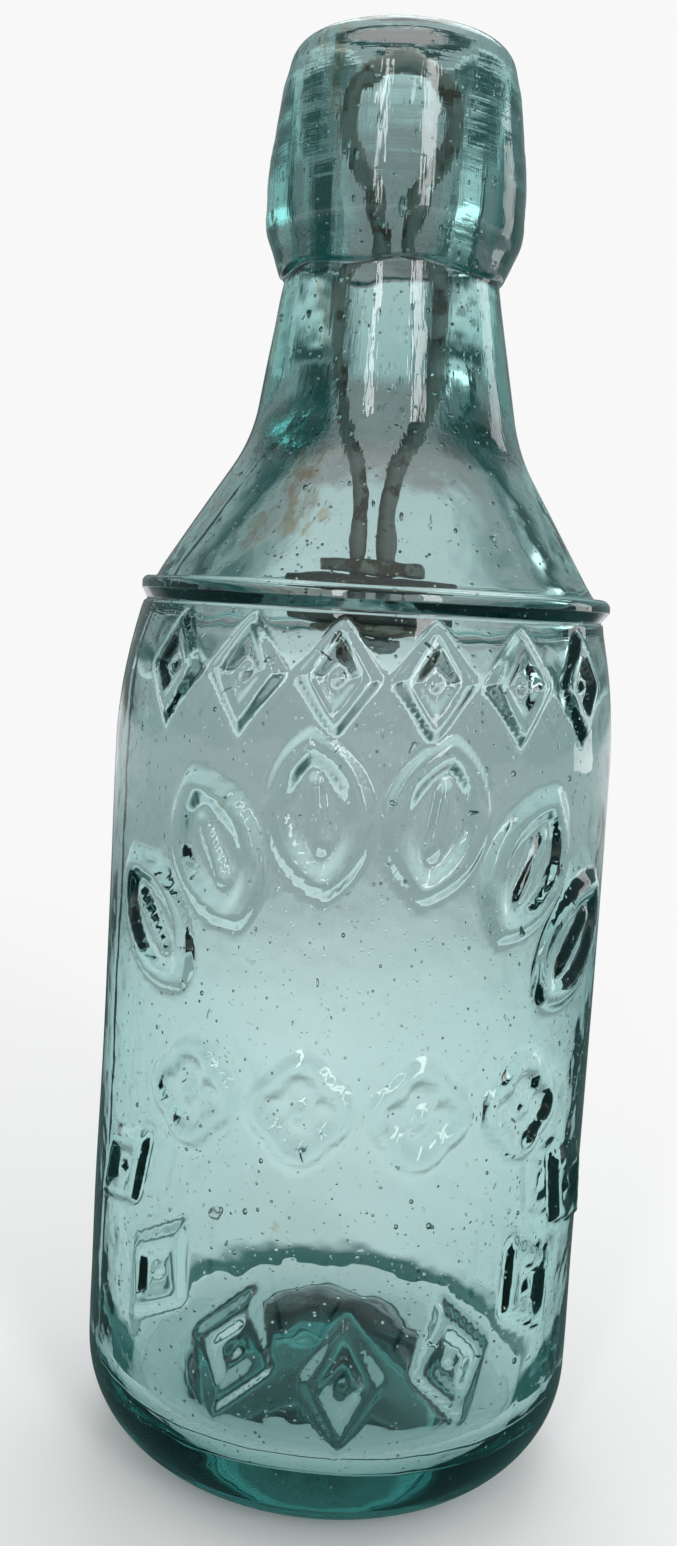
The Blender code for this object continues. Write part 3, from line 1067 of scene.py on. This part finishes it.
    def lean(self, height: Array) -> Array:
        """How far the blown glass strays sideways along X.

        The offsets between the given heights are smoothed by a bell of weights, and the
        shoulder ring adds a bell of its own.

        Args:
            height: Height of each point.

        Returns:
            One offset for each point.
        """
        fine = np.linspace(self.lean_heights[0], self.lean_heights[-1], self.lean_steps)
        raw = np.interp(fine, self.lean_heights, self.lean_offsets)
        reach = int(self.lean_smoothing / MM)
        window = np.hanning(2 * reach + 1)
        padded = np.pad(raw, reach, mode="edge")
        smooth = np.convolve(padded, window / window.sum(), mode="valid")
        ring = self.ring_shift * np.exp(-(((height - self.ring_middle) / self.ring_reach) ** 2))
        return np.interp(height / MM, fine, smooth) * MM + ring

    def marks(self, radius: Array, height: Array, angle: Array) -> Iterator[Array]:
        """How far the outside goes out for what was pressed, seamed and tooled on it.

        Args:
            radius: Radius of each point.
            height: Height of each point.
            angle: Angle of each point.

        Yields:
            One push for each point: for the ornament on its flattened front, for the two
            mould seams, and for the tool marks on the lip.
        """
        bell = np.exp(-((from_front(angle) / self.front_width) ** 2))
        flat = self.front_flat * bell * self.flattened.over(height)
        yield self.garland.rise(angle, height) * self.ornamented.over(height) - flat
        beside = np.abs(np.sin(angle - self.seam_turn)) * radius
        seam = smooth_step(1.0 - beside / self.seam_width) * self.seamed.over(height)
        yield self.seam_height * seam
        lines = self.tool_rings.at(angle * 0.0, height)
        lines = lines + self.swirl_share * self.tool_swirl.at(angle, height)
        yield self.tool_marks * lines * self.tooled.over(height)

    def worked(self, outline: Array, normals: Array, rows: Array, angles: Array) -> Array:
        """Points of some rows of the skin, with the marks of blowing, moulding and tooling.

        Each point goes out along the outline's normal by its waves and marks, up or down by
        the wander of the lip's foot, and then sideways by the lean.

        Args:
            outline: The whole outline.
            normals: Its normals.
            rows: Which of its points to turn.
            angles: Angles of the columns.

        Returns:
            Places of the points, row by row.
        """
        radius, height, angle = turned_points(outline[rows], angles)
        out_r, out_z, _ = turned_points(normals[rows], angles)
        outside = (rows <= self.crown(outline))[:, None] & np.ones(angle.shape, bool)
        walls = self.walls.over(height)
        outer, inner = (
            waves * drift.at(angle, height) * (base + swell * walls)
            for waves, drift, (base, swell) in (
                (self.outer_waves, self.outer_drift, self.outer_shares),
                (self.inner_waves, self.inner_drift, self.inner_shares),
            )
        )
        push = np.where(outside, outer, inner) * smooth_step(radius / self.axis_calm)
        for mark in self.marks(radius, height, angle):
            push += np.where(outside, mark, 0.0)
        settled = smooth_step(height / self.foot_calm)
        push *= settled * smooth_step((self.top - height) / self.top_calm)
        wander = self.wander * self.wander_drift.at(angle, height * 0.0)
        near_foot = np.exp(-(((height - self.lip_foot) / self.lip_foot_reach) ** 2))
        height = height + np.where(outside, wander * near_foot, 0.0) + push * out_z
        points = placed(radius + push * out_r, height, angle)
        points[:, 0] += self.lean(points[:, 2])
        return points

    def skin(self) -> tuple[Array, Array]:
        """The closed skin, with twice the columns on the body's outside.

        Returns:
            Points and triangles.
        """
        outline = self.outline()
        normals = outline_normals(outline)
        rows = np.arange(len(outline))
        fine = (outline[:, 1] > self.dense[0]) & (outline[:, 1] < self.dense[1])
        fine &= rows < self.crown(outline)
        first, last = rows[fine].min(), rows[fine].max()
        angles = self.column_angles()
        parts = (rows[:first], rows[first : last + 1], rows[last + 1 :])
        columns = (angles[::2], angles, angles[::2])
        points = [self.worked(outline, normals, *block) for block in zip(parts, columns)]
        starts = np.cumsum([1] + [len(block) for block in points])
        low, middle, high = (
            start + np.arange(len(block)).reshape(len(part), -1)
            for start, block, part in zip(starts, points, parts)
        )
        faces = [quads_between(grid[:-1], grid[1:]) for grid in (low, middle, high)]
        faces.append(fan_step(low[-1], middle[0], rising=True))
        faces.append(fan_step(high[0], middle[-1], rising=False))
        faces.append(pole_fan(0, low[0], opening=True))
        faces.append(pole_fan(int(starts[-1]), high[-1], opening=False))
        lean = self.lean(np.array([0.0, outline[-1, 1]]))
        opening, closing = [lean[0], 0.0, self.push_up_height], [lean[1], 0.0, self.kick_height]
        return np.concatenate([[opening], *points, [closing]]), np.concatenate(faces)

    def voids(self, first: int) -> tuple[Array, Array]:
        """The seeds, set in the leaning wall.

        Args:
            first: The number of the first new point.

        Returns:
            Points and triangles.
        """
        outline = self.outline()
        crown = self.crown(outline)
        centre, stretch = self.seeds.scattered(outline[:crown], outline[crown:][::-1])
        centre[:, 0] += self.lean(centre[:, 2])
        return self.seeds.voids(centre, stretch, first)

    def build(self) -> Piece:
        """Makes and dresses the glass, and lets it stand for both glass solids.

        Returns:
            The glass.
        """
        points, faces = self.skin()
        void_points, void_faces = self.voids(len(points))
        points, faces = np.concatenate([points, void_points]), np.concatenate([faces, void_faces])
        piece = mesh_piece("fused_glass", points, faces)
        piece.data.materials.append(self.finish.material(self.lip_foot, self.neck_foot))
        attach(piece, Body.BOTTLE.value)
        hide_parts("blown_body", "applied_lip")
        return piece


@dataclass(frozen=True)
class TurnedPiece:
    """A piece of the stopper that is turned about the axis and a little uneven.

    Its corners go from its upper face, round its rim, to its lower face. It stands for the
    node, with the finish; its slot is kept but not used. Its face goes in by about the rough at
    most.
    """

    name: str
    node: str
    slot: str
    finish: AgedMetal | AgedRubber
    rough: float
    seed: int
    corners: tuple[Corner, ...]
    columns: int = 96
    swings: int = 6
    length: float = 5.0 * MM
    height_pace: float = 3.0
    radius_pace: float = 2.0

    def build(self, origin: float) -> Piece:
        """Makes the piece, with a drift that runs at one pace up it and at another across it.

        Args:
            origin: Height of the stopper's origin.

        Returns:
            The piece, in place.
        """
        sized = in_metres(self.corners)
        spacing = sized[0][3]
        start, end = (0.0, sized[0][1], 0.0, spacing), (0.0, sized[-1][1], 0.0, spacing)
        outline = rounded_outline([start, *sized, end])[::-1]
        angles = whole_turn(self.columns)
        radius, height, angle = turned_points(outline[1:-1], angles)
        out_r, out_z, _ = turned_points(outline_normals(outline)[1:-1], angles)
        pace = height * self.height_pace + radius * self.radius_pace
        push = -self.rough * np.abs(Drift(self.seed, self.swings, self.length).at(angle, pace))
        points = placed(radius + push * out_r, origin + height + push * out_z, angle)
        opening, closing = ([0.0, 0.0, origin + outline[row, 1]] for row in (0, -1))
        faces = capped_rows(*radius.shape)
        return mesh_piece(self.name, np.concatenate([[opening], points, [closing]]), faces)


WIRE_METAL = AgedMetal("dull_tinned_wire", (0.34, 0.32, 0.29), (0.10, 0.045, 0.02), 0.16, 0.34)
SHEET_METAL = AgedMetal("dull_tinned_sheet", (0.38, 0.35, 0.29), (0.12, 0.055, 0.025), 0.22, 0.40)
SOLDER_GREY = AgedMetal("dull_solder", (0.40, 0.40, 0.39), (0.16, 0.14, 0.12), 0.05, 0.42)


@dataclass
class WireLoopStopper:
    """The stopper: bent wire loop, two plates, gasket and solder button, in their open place.

    Heights are over the stopper's origin.
    """

    origin: float = 107.7 * MM
    wire_radius: float = 1.1 * MM
    wire_sides: int = 18
    wire_step: float = 0.55 * MM
    dents: float = 0.035
    dent_drift: Drift = Drift(61, 3, 9.0 * MM)
    swing_steps: int = 61
    crown_steps: int = 31
    leg: float = 1.8 * MM
    wire_foot: float = -5.4 * MM
    stem_top: float = 9.4 * MM
    spring: float = 6.5 * MM
    spring_foot: float = 28.96 * MM
    spring_top: float = 33.96 * MM
    waist: float = 1.75 * MM
    waist_height: float = 44.1 * MM
    finger: float = 6.4 * MM
    loop_centre: float = 53.5 * MM
    metal: AgedMetal = WIRE_METAL
    upper_plate: TurnedPiece = TurnedPiece(
        "pressed_upper_plate", "upper_plate", "plate_metal", SHEET_METAL, 0.04 * MM, 71,
        ((4.6, 2.9, 0.7, 0.3), (5.6, 3.5, 0.35, 0.3), (6.6, 3.5, 0.4, 0.3), (6.6, 1.9, 0.25, 0.3)),
    )
    gasket: TurnedPiece = TurnedPiece(
        "worn_gasket", "rubber_gasket", "old_rubber", AgedRubber(), 0.12 * MM, 72,
        (
            (7.3, 1.6, 0.6, 0.5), (10.5, 1.2, 0.7, 0.4),
            (10.5, -1.2, 0.7, 0.4), (7.3, -1.6, 0.6, 0.5),
        ),
    )
    lower_plate: TurnedPiece = TurnedPiece(
        "domed_lower_plate", "lower_plate", "lower_metal", SHEET_METAL, 0.05 * MM, 73,
        ((7.3, -1.9, 0.33, 0.4), (7.3, -2.9, 0.33, 0.4), (3.7, -3.7, 1.5, 0.4)),
    )
    button: TurnedPiece = TurnedPiece(
        "solder_blob", "solder_button", "solder", SOLDER_GREY, 0.25 * MM, 74,
        ((4.2, -4.0, 0.5, 0.3), (4.2, -6.6, 1.5, 0.3)),
    )

    def swing(self, start: Span, end: Span) -> Array:
        """A way that swings sideways on a half cosine, upright at both ends.

        Args:
            start: Where it starts (X, height).
            end: Where it ends.

        Returns:
            Points from just after start up to end.
        """
        share = np.linspace(0.0, 1.0, self.swing_steps)[1:, None]
        aside = (1 - np.cos(np.pi * share)) / 2
        return np.array(start) + np.subtract(end, start) * np.concatenate([aside, share], 1)

    def route(self) -> Array:
        """The wire's centre line in the XZ plane, evenly spaced, from leg to leg.

        Returns:
            Points (X, height).
        """
        stem, waist = (self.leg, self.stem_top), (self.waist, self.waist_height)
        spring_foot, spring_top = (self.spring, self.spring_foot), (self.spring, self.spring_top)
        angle = np.linspace(0.0, math.pi / 2, self.crown_steps)[1:]
        crown = self.finger * np.stack([np.cos(angle), np.sin(angle)], 1) + [0.0, self.loop_centre]
        right = np.concatenate(
            [
                [(self.leg, self.wire_foot), stem],
                self.swing(stem, spring_foot),
                [spring_top],
                self.swing(spring_top, waist),
                self.swing(waist, (self.finger, self.loop_centre)),
                crown,
            ]
        )
        whole = np.concatenate([right, (right * [-1.0, 1.0])[-2::-1]])
        steps = np.linalg.norm(np.diff(whole, axis=0), axis=1)
        run = np.concatenate([[0.0], np.cumsum(steps)])
        even = np.linspace(0.0, run[-1], int(run[-1] / self.wire_step) + 1)
        return np.stack([np.interp(even, run, whole[:, axis]) for axis in (0, 1)], 1)

    def wire(self) -> Piece:
        """The spring wire as a tube round its route, with the small dents of hand bending.

        The tube's rings lie across the route's tangent: one axis in the loop's plane, the
        other along Y.

        Returns:
            The wire.
        """
        route = self.route()
        tangent = np.gradient(route, axis=0)
        tangent /= np.linalg.norm(tangent, axis=1, keepdims=True)
        around = np.broadcast_to(whole_turn(self.wire_sides), (len(route), self.wire_sides))
        along = np.arange(len(route))[:, None] * self.wire_step
        dents = 1.0 + self.dents * self.dent_drift.at(around, along + 0 * around)
        reach = self.wire_radius * np.minimum(dents, 1.0)
        flat, deep = reach * np.cos(around), reach * np.sin(around)
        aside = route[:, 0:1] + tangent[:, 1:2] * flat
        height = self.origin + route[:, 1:2] - tangent[:, 0:1] * flat
        points = np.stack([aside, deep, height], -1).reshape(-1, 3)
        start, end = ([place[0], 0.0, self.origin + place[1]] for place in (route[0], route[-1]))
        faces = capped_rows(*around.shape)
        return mesh_piece("sprung_wire", np.concatenate([[start], points, [end]]), faces)

    def dress(self, piece: Piece, node: str, slot: str, finish: Finish) -> Piece:
        """Gives a piece its finish, and lets it stand for its solid on the stopper's body.

        Args:
            piece: The piece.
            node: The solid's node.
            slot: The solid's material slot; not used.
            finish: The piece's material.

        Returns:
            The same piece.
        """
        piece.data.materials.append(finish)
        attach(piece, Body.STOPPER.value)
        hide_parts(node)
        return piece

    def build(self) -> list[Piece]:
        """Makes and dresses the five pieces, each for its own solid.

        Returns:
            The pieces.
        """
        wire = self.dress(self.wire(), "stopper_wire_loop", "tinned_wire", self.metal.material())
        pieces = [wire]
        for part in (self.upper_plate, self.gasket, self.lower_plate, self.button):
            piece = part.build(self.origin)
            pieces.append(self.dress(piece, part.node, part.slot, part.finish.material()))
        return pieces


@dataclass(frozen=True)
class Lamp:
    """One soft rectangular lamp, aimed at the bottle and not seen through the glass.

    The turn is in degrees to the right of the camera's side.
    """

    name: str
    turn: float
    height: float
    distance: float
    size: Span
    glow: float

    def build(self, aim: Vector) -> None:
        """Makes the lamp.

        Args:
            aim: The place that it looks at.
        """
        turn = math.radians(self.turn)
        aside, ahead = self.distance * math.sin(turn), -self.distance * math.cos(turn)
        spot = Vector((aside, ahead, self.height))
        data = bpy.data.lights.new(self.name, "AREA")
        data.shape = "RECTANGLE"
        data.size, data.size_y = self.size
        data.energy = self.glow * self.size[0] * self.size[1] * math.pi
        lamp = bpy.data.objects.new(self.name, data)
        lamp.visible_transmission = False
        facing = (aim - spot).to_track_quat("-Z", "Y").to_matrix().to_4x4()
        lamp.matrix_world = Matrix.Translation(spot) @ facing
        bpy.context.scene.collection.objects.link(lamp)


@dataclass(frozen=True)
class PaintedSheet:
    """A sheet of painted light and shade, that the camera, the lamps' light and the shadows pass
    by.

    The tone is the light that it gives off, and a shade from 0 to 1, in stops (place, shade), says
    how dense it is. Each is seen only through the glass, as painted surroundings, or only in the
    gloss of the surfaces, as a painted reflection.
    """

    name: str
    tone: Tone
    seen_through: bool
    stops: tuple[Span, ...]

    def shade_at(self, places: Array) -> Array:
        """The shade at places along the stops."""
        return np.interp(places, *zip(*self.stops))

    def hang(self, points: Array, faces: Array, shade: Array) -> None:
        """Makes the sheet of painted light and shade.

        Args:
            points: Places of its points.
            faces: Its triangles.
            shade: The shade at each point.
        """
        painted_sheet = mesh_piece(self.name, points, faces)
        shades = painted_sheet.data.attributes.new("shade", "FLOAT", "POINT").data
        shades.foreach_set("value", shade.astype(np.float32).ravel())
        bench = MaterialBench(self.name)
        dense = bench.add("ShaderNodeAttribute", attribute_name="shade").outputs["Fac"]
        clear = bench.add("ShaderNodeBsdfTransparent").outputs[0]
        # Painted light and shade: the tone glows where the shade is dense, and the sheet is clear
        # elsewhere.
        bench.blend(dense, clear, bench.glow("ShaderNodeEmission", self.tone))
        painted_sheet.data.materials.append(bench.material)
        painted_sheet.visible_camera = painted_sheet.visible_diffuse = painted_sheet.visible_shadow = False
        painted_sheet.visible_transmission = self.seen_through
        painted_sheet.visible_glossy = not self.seen_through


@dataclass(frozen=True)
class Surround(PaintedSheet):
    """A wall of painted light and shade round the bottle.

    The places of its stops are degrees to the right of the way the camera looks. The shade
    eases in over the foot's two heights and out over the head's.
    """

    distance: float
    foot: Span
    head: Span
    column_step: float = 2.0
    rows: int = 60

    def build(self) -> None:
        """Makes the wall, with its rows closer together near its foot."""
        turns = np.arange(-180.0, 180.0, self.column_step)
        rise = (self.head[1] - self.foot[0]) * np.linspace(0.0, 1.0, self.rows) ** 2
        outline = np.stack([np.full(self.rows, self.distance), self.foot[0] + rise], 1)
        radius, height, angle = turned_points(outline, math.pi / 2 - np.radians(turns))
        coming, leaving = (
            smooth_step((height - low) / (high - low)) for low, high in (self.foot, self.head)
        )
        shade = self.shade_at(turns)[None] * coming * (1.0 - leaving)
        grid = np.arange(radius.size).reshape(radius.shape)
        self.hang(placed(radius, height, angle), quads_between(grid[:-1], grid[1:]), shade)


@dataclass(frozen=True)
class PaintedFloorSheet(PaintedSheet):
    """A round sheet of painted light and shade on the floor. The places of its stops are radii."""

    height: float
    columns: int = 72
    rows: int = 41

    def build(self) -> None:
        """Makes the sheet, with its rings closer together near its middle."""
        radii = np.linspace(0.0, math.sqrt(self.stops[-1][0]), self.rows)[1:] ** 2
        points, faces = round_sheet(radii, self.height, self.columns)
        shade = np.repeat(self.shade_at(radii), self.columns)
        self.hang(points, faces, np.concatenate([[self.stops[0][1]], shade]))


# Painted light and shade round the bottle, seen only through the glass or only in its gloss.
PAINTED_WALLS = (
    # Painted shade: dark teal surroundings low round the bottle, darkest to the sides, seen only
    # through the glass.
    Surround(
        "painted_low_shade_seen_through_glass", (0.0, 0.05, 0.048), True,
        (
            (-180.0, 0.45), (-120.0, 0.45), (-80.0, 0.70), (-60.0, 0.97), (-18.0, 0.94),
            (-12.0, 0.55), (-8.0, 0.22), (8.0, 0.22), (12.0, 0.55), (18.0, 0.94),
            (60.0, 0.97), (105.0, 0.85), (125.0, 0.45), (180.0, 0.45),
        ),
        1.3, (0.02, 0.14), (0.20, 0.36),
    ),
    # Painted shade: dark surroundings higher up round the bottle, seen only through the glass.
    Surround(
        "painted_high_shade_seen_through_glass", (0.005, 0.035, 0.034), True,
        (
            (-180.0, 0.60), (-120.0, 0.80), (-90.0, 0.97), (-50.0, 0.97), (-28.0, 0.50),
            (24.0, 0.50), (36.0, 0.97), (41.0, 0.97), (46.0, 0.0), (104.0, 0.0),
            (116.0, 0.80), (180.0, 0.60),
        ),
        1.28, (0.20, 0.36), (4.0, 7.0),
    ),
    # Painted shade with a warm tint: dims the pale backdrop behind the bottle, seen only through
    # the glass.
    Surround(
        "painted_warm_shade_behind", (0.30, 0.06, 0.06), True,
        ((-30.0, 0.0), (-18.0, 0.34), (18.0, 0.34), (30.0, 0.0)),
        1.2, (0.22, 0.36), (0.9, 1.2),
    ),
    # Painted light: a bright band on the right that glows though it is no lamp, seen only through
    # the glass.
    Surround(
        "painted_window_glow_seen_through_glass", (2.3, 2.4, 2.4), True,
        ((41.0, 0.0), (47.0, 1.0), (98.0, 1.0), (106.0, 0.0)),
        1.1, (0.40, 0.45), (0.54, 0.62),
    ),
    # Painted shade: a low dark teal band just behind the heel, seen only through the glass.
    Surround(
        "painted_shade_behind_the_heel", (0.0, 0.09, 0.087), True,
        ((-125.0, 0.0), (-100.0, 0.95), (100.0, 0.95), (125.0, 0.0)),
        0.042, (-0.001, 0.0), (0.004, 0.008),
    ),
    # Painted reflection: dim grey surroundings, seen only in the gloss of the surfaces.
    Surround(
        "painted_grey_reflection_round_the_bottle", (0.17, 0.18, 0.18), False,
        ((-180.0, 0.96), (-95.0, 0.96), (-70.0, 0.90), (70.0, 0.90), (95.0, 0.96), (180.0, 0.96)),
        1.35, (0.0, 0.06), (1.8, 2.6),
    ),
    # Painted shade: dark surroundings high above the bottle, seen only through the glass.
    Surround(
        "painted_shade_above_seen_through_glass", (0.0, 0.07, 0.067), True,
        ((-180.0, 0.78), (180.0, 0.78)),
        1.25, (0.55, 0.85), (4.0, 7.0),
    ),
)
PAINTED_FLOOR_SHEETS = (
    # Painted light: a pale glow under the bottle's base, seen only through the glass.
    PaintedFloorSheet(
        "painted_light_under_the_glass", (0.62, 0.64, 0.64), True,
        ((0.0, 0.75), (0.014, 0.75), (0.017, 0.9), (0.027, 0.9), (0.031, 0.0)),
        -0.06 * MM,
    ),
    # Painted reflection: a dark floor round the bottle, seen only in the gloss of the surfaces.
    PaintedFloorSheet(
        "painted_dark_floor_reflection", (0.02, 0.02, 0.02), False,
        ((0.0, 0.92), (0.30, 0.92), (0.8, 0.0)),
        -0.05 * MM,
    ),
    PaintedFloorSheet(
        "far_floor_in_shade", (0.06, 0.05, 0.05), True,
        ((0.0, 0.0), (0.16, 0.0), (0.45, 0.52), (1.3, 0.52)),
        -0.04 * MM,
    ),
)


@dataclass
class Studio:
    """Plain pale floor and surroundings, soft lamps, and the camera at the photograph's place."""

    picture: tuple[int, int] = (677, 1546)
    camera_distance: float = 185.0 * MM
    camera_height: float = 107.4 * MM
    pitch: float = -0.1368
    roll: float = 0.0578
    yaw: float = 0.0403
    focal: float = 1499.4
    optical_centre: Span = (298.5, 803.0)
    sensor: float = 36.0
    nearest: float = 0.005

    floor_drop: float = 0.15 * MM
    floor_radii: tuple[float, ...] = (0.05, 0.15, 0.4, 1.0, 2.0, 4.0)
    floor_columns: int = 96
    floor_tone: Tone = (0.90, 0.905, 0.905)
    floor_roughness: float = 0.8
    floor_gloss: float = 0.2
    backdrop: float = 0.94
    ambient: float = 0.72
    fade: Span = (0.06, 0.45)
    lamps: tuple[Lamp, ...] = (
        Lamp("narrow_window", -17.0, 0.42, 0.95, (0.07, 0.75), 9.0),
        Lamp("wide_window", 27.0, 0.42, 0.95, (0.17, 0.75), 8.0),
        Lamp("side_window", 116.0, 0.30, 1.00, (0.30, 0.60), 2.5),
        Lamp("back_light", 172.0, 1.15, 0.75, (0.9, 0.7), 2.2),
    )
    painted_sheets: tuple[Surround | PaintedFloorSheet, ...] = PAINTED_WALLS + PAINTED_FLOOR_SHEETS

    def build_world(self) -> None:
        """Pale surroundings for what is seen, and a softer even light for the rest."""
        world = bpy.data.worlds.new("pale_room")
        bpy.context.scene.world = world
        world.use_nodes = True
        nodes = world.node_tree.nodes
        nodes.clear()
        bench = NodeBench(world.node_tree, nodes.new("ShaderNodeOutputWorld"))
        even = bench.glow("ShaderNodeBackground", WHITE, self.ambient)
        pale = bench.glow("ShaderNodeBackground", WHITE, self.backdrop)
        bench.blend(bench.seen(), even, pale)

    def build_floor(self) -> None:
        """The floor, a pale matt sheet just under the bottle that keeps its shadow.

        Where it is seen, it fades into the surroundings with the distance from the middle.
        """
        sheet = round_sheet(np.array(self.floor_radii), -self.floor_drop, self.floor_columns)
        floor = mesh_piece("pale_floor", *sheet)
        bench = MaterialBench("pale_floor")
        inputs = {
            "Base Color": (*self.floor_tone, 1.0),
            "Roughness": self.floor_roughness,
            "Specular IOR Level": self.floor_gloss,
        }
        bench.fill(bench.shader, inputs)
        away = bench.add("ShaderNodeVectorMath", {0: bench.place}, operation="LENGTH")
        far = bench.between(away.outputs["Value"], *self.fade)
        pale = bench.glow("ShaderNodeEmission", WHITE, self.backdrop)
        bench.blend(bench.maths("MULTIPLY", far, bench.seen()), bench.shader.outputs[0], pale)
        floor.data.materials.append(bench.material)

    def build_camera(self) -> None:
        """The camera, placed and shifted as the photograph's outline asks."""
        turn = Matrix.Rotation(self.yaw, 3, "Z")
        right, forward, up = turn @ Vector((1, 0, 0)), turn @ Vector((0, 1, 0)), Vector((0, 0, 1))
        ahead = forward * math.cos(self.pitch) + up * math.sin(self.pitch)
        upward = up * math.cos(self.pitch) - forward * math.sin(self.pitch)
        side = right * math.cos(self.roll) + upward * math.sin(self.roll)
        top = upward * math.cos(self.roll) - right * math.sin(self.roll)
        data = bpy.data.cameras.new("photograph_view")
        width, height = self.picture
        data.sensor_width = self.sensor
        data.lens = self.focal / height * self.sensor
        data.shift_x = (width / 2 - self.optical_centre[0]) / height
        data.shift_y = (self.optical_centre[1] - height / 2) / height
        data.clip_start = self.nearest
        camera = bpy.data.objects.new("photograph_view", data)
        spot = Vector((0.0, -self.camera_distance, self.camera_height))
        turned = Matrix((side, top, -ahead)).transposed().to_4x4()
        camera.matrix_world = Matrix.Translation(spot) @ turned
        bpy.context.scene.collection.objects.link(camera)
        bpy.context.scene.camera = camera

    def build(self) -> None:
        """Sets up the camera, the surroundings, the floor, the lamps and the sheets of painted
        light and shade.
        """
        bpy.context.scene.view_settings.view_transform = "Standard"
        self.build_camera()
        self.build_world()
        self.build_floor()
        aim = Vector((0.0, 0.0, self.camera_height))
        for lamp in self.lamps:
            lamp.build(aim)
        for painted_sheet in self.painted_sheets:
            painted_sheet.build()
        log.info("studio: %d lamps and %d cloths", len(self.lamps), len(self.painted_sheets))


def main() -> None:
    """Builds the studio, the glass and the stopper in order, and reports each piece."""
    logging.basicConfig(level=logging.INFO, format="%(name)s: %(message)s")
    Studio().build()
    for piece in (FusedGlass().build(), *WireLoopStopper().build()):
        report(piece)


if __name__ == "__main__":
    main()
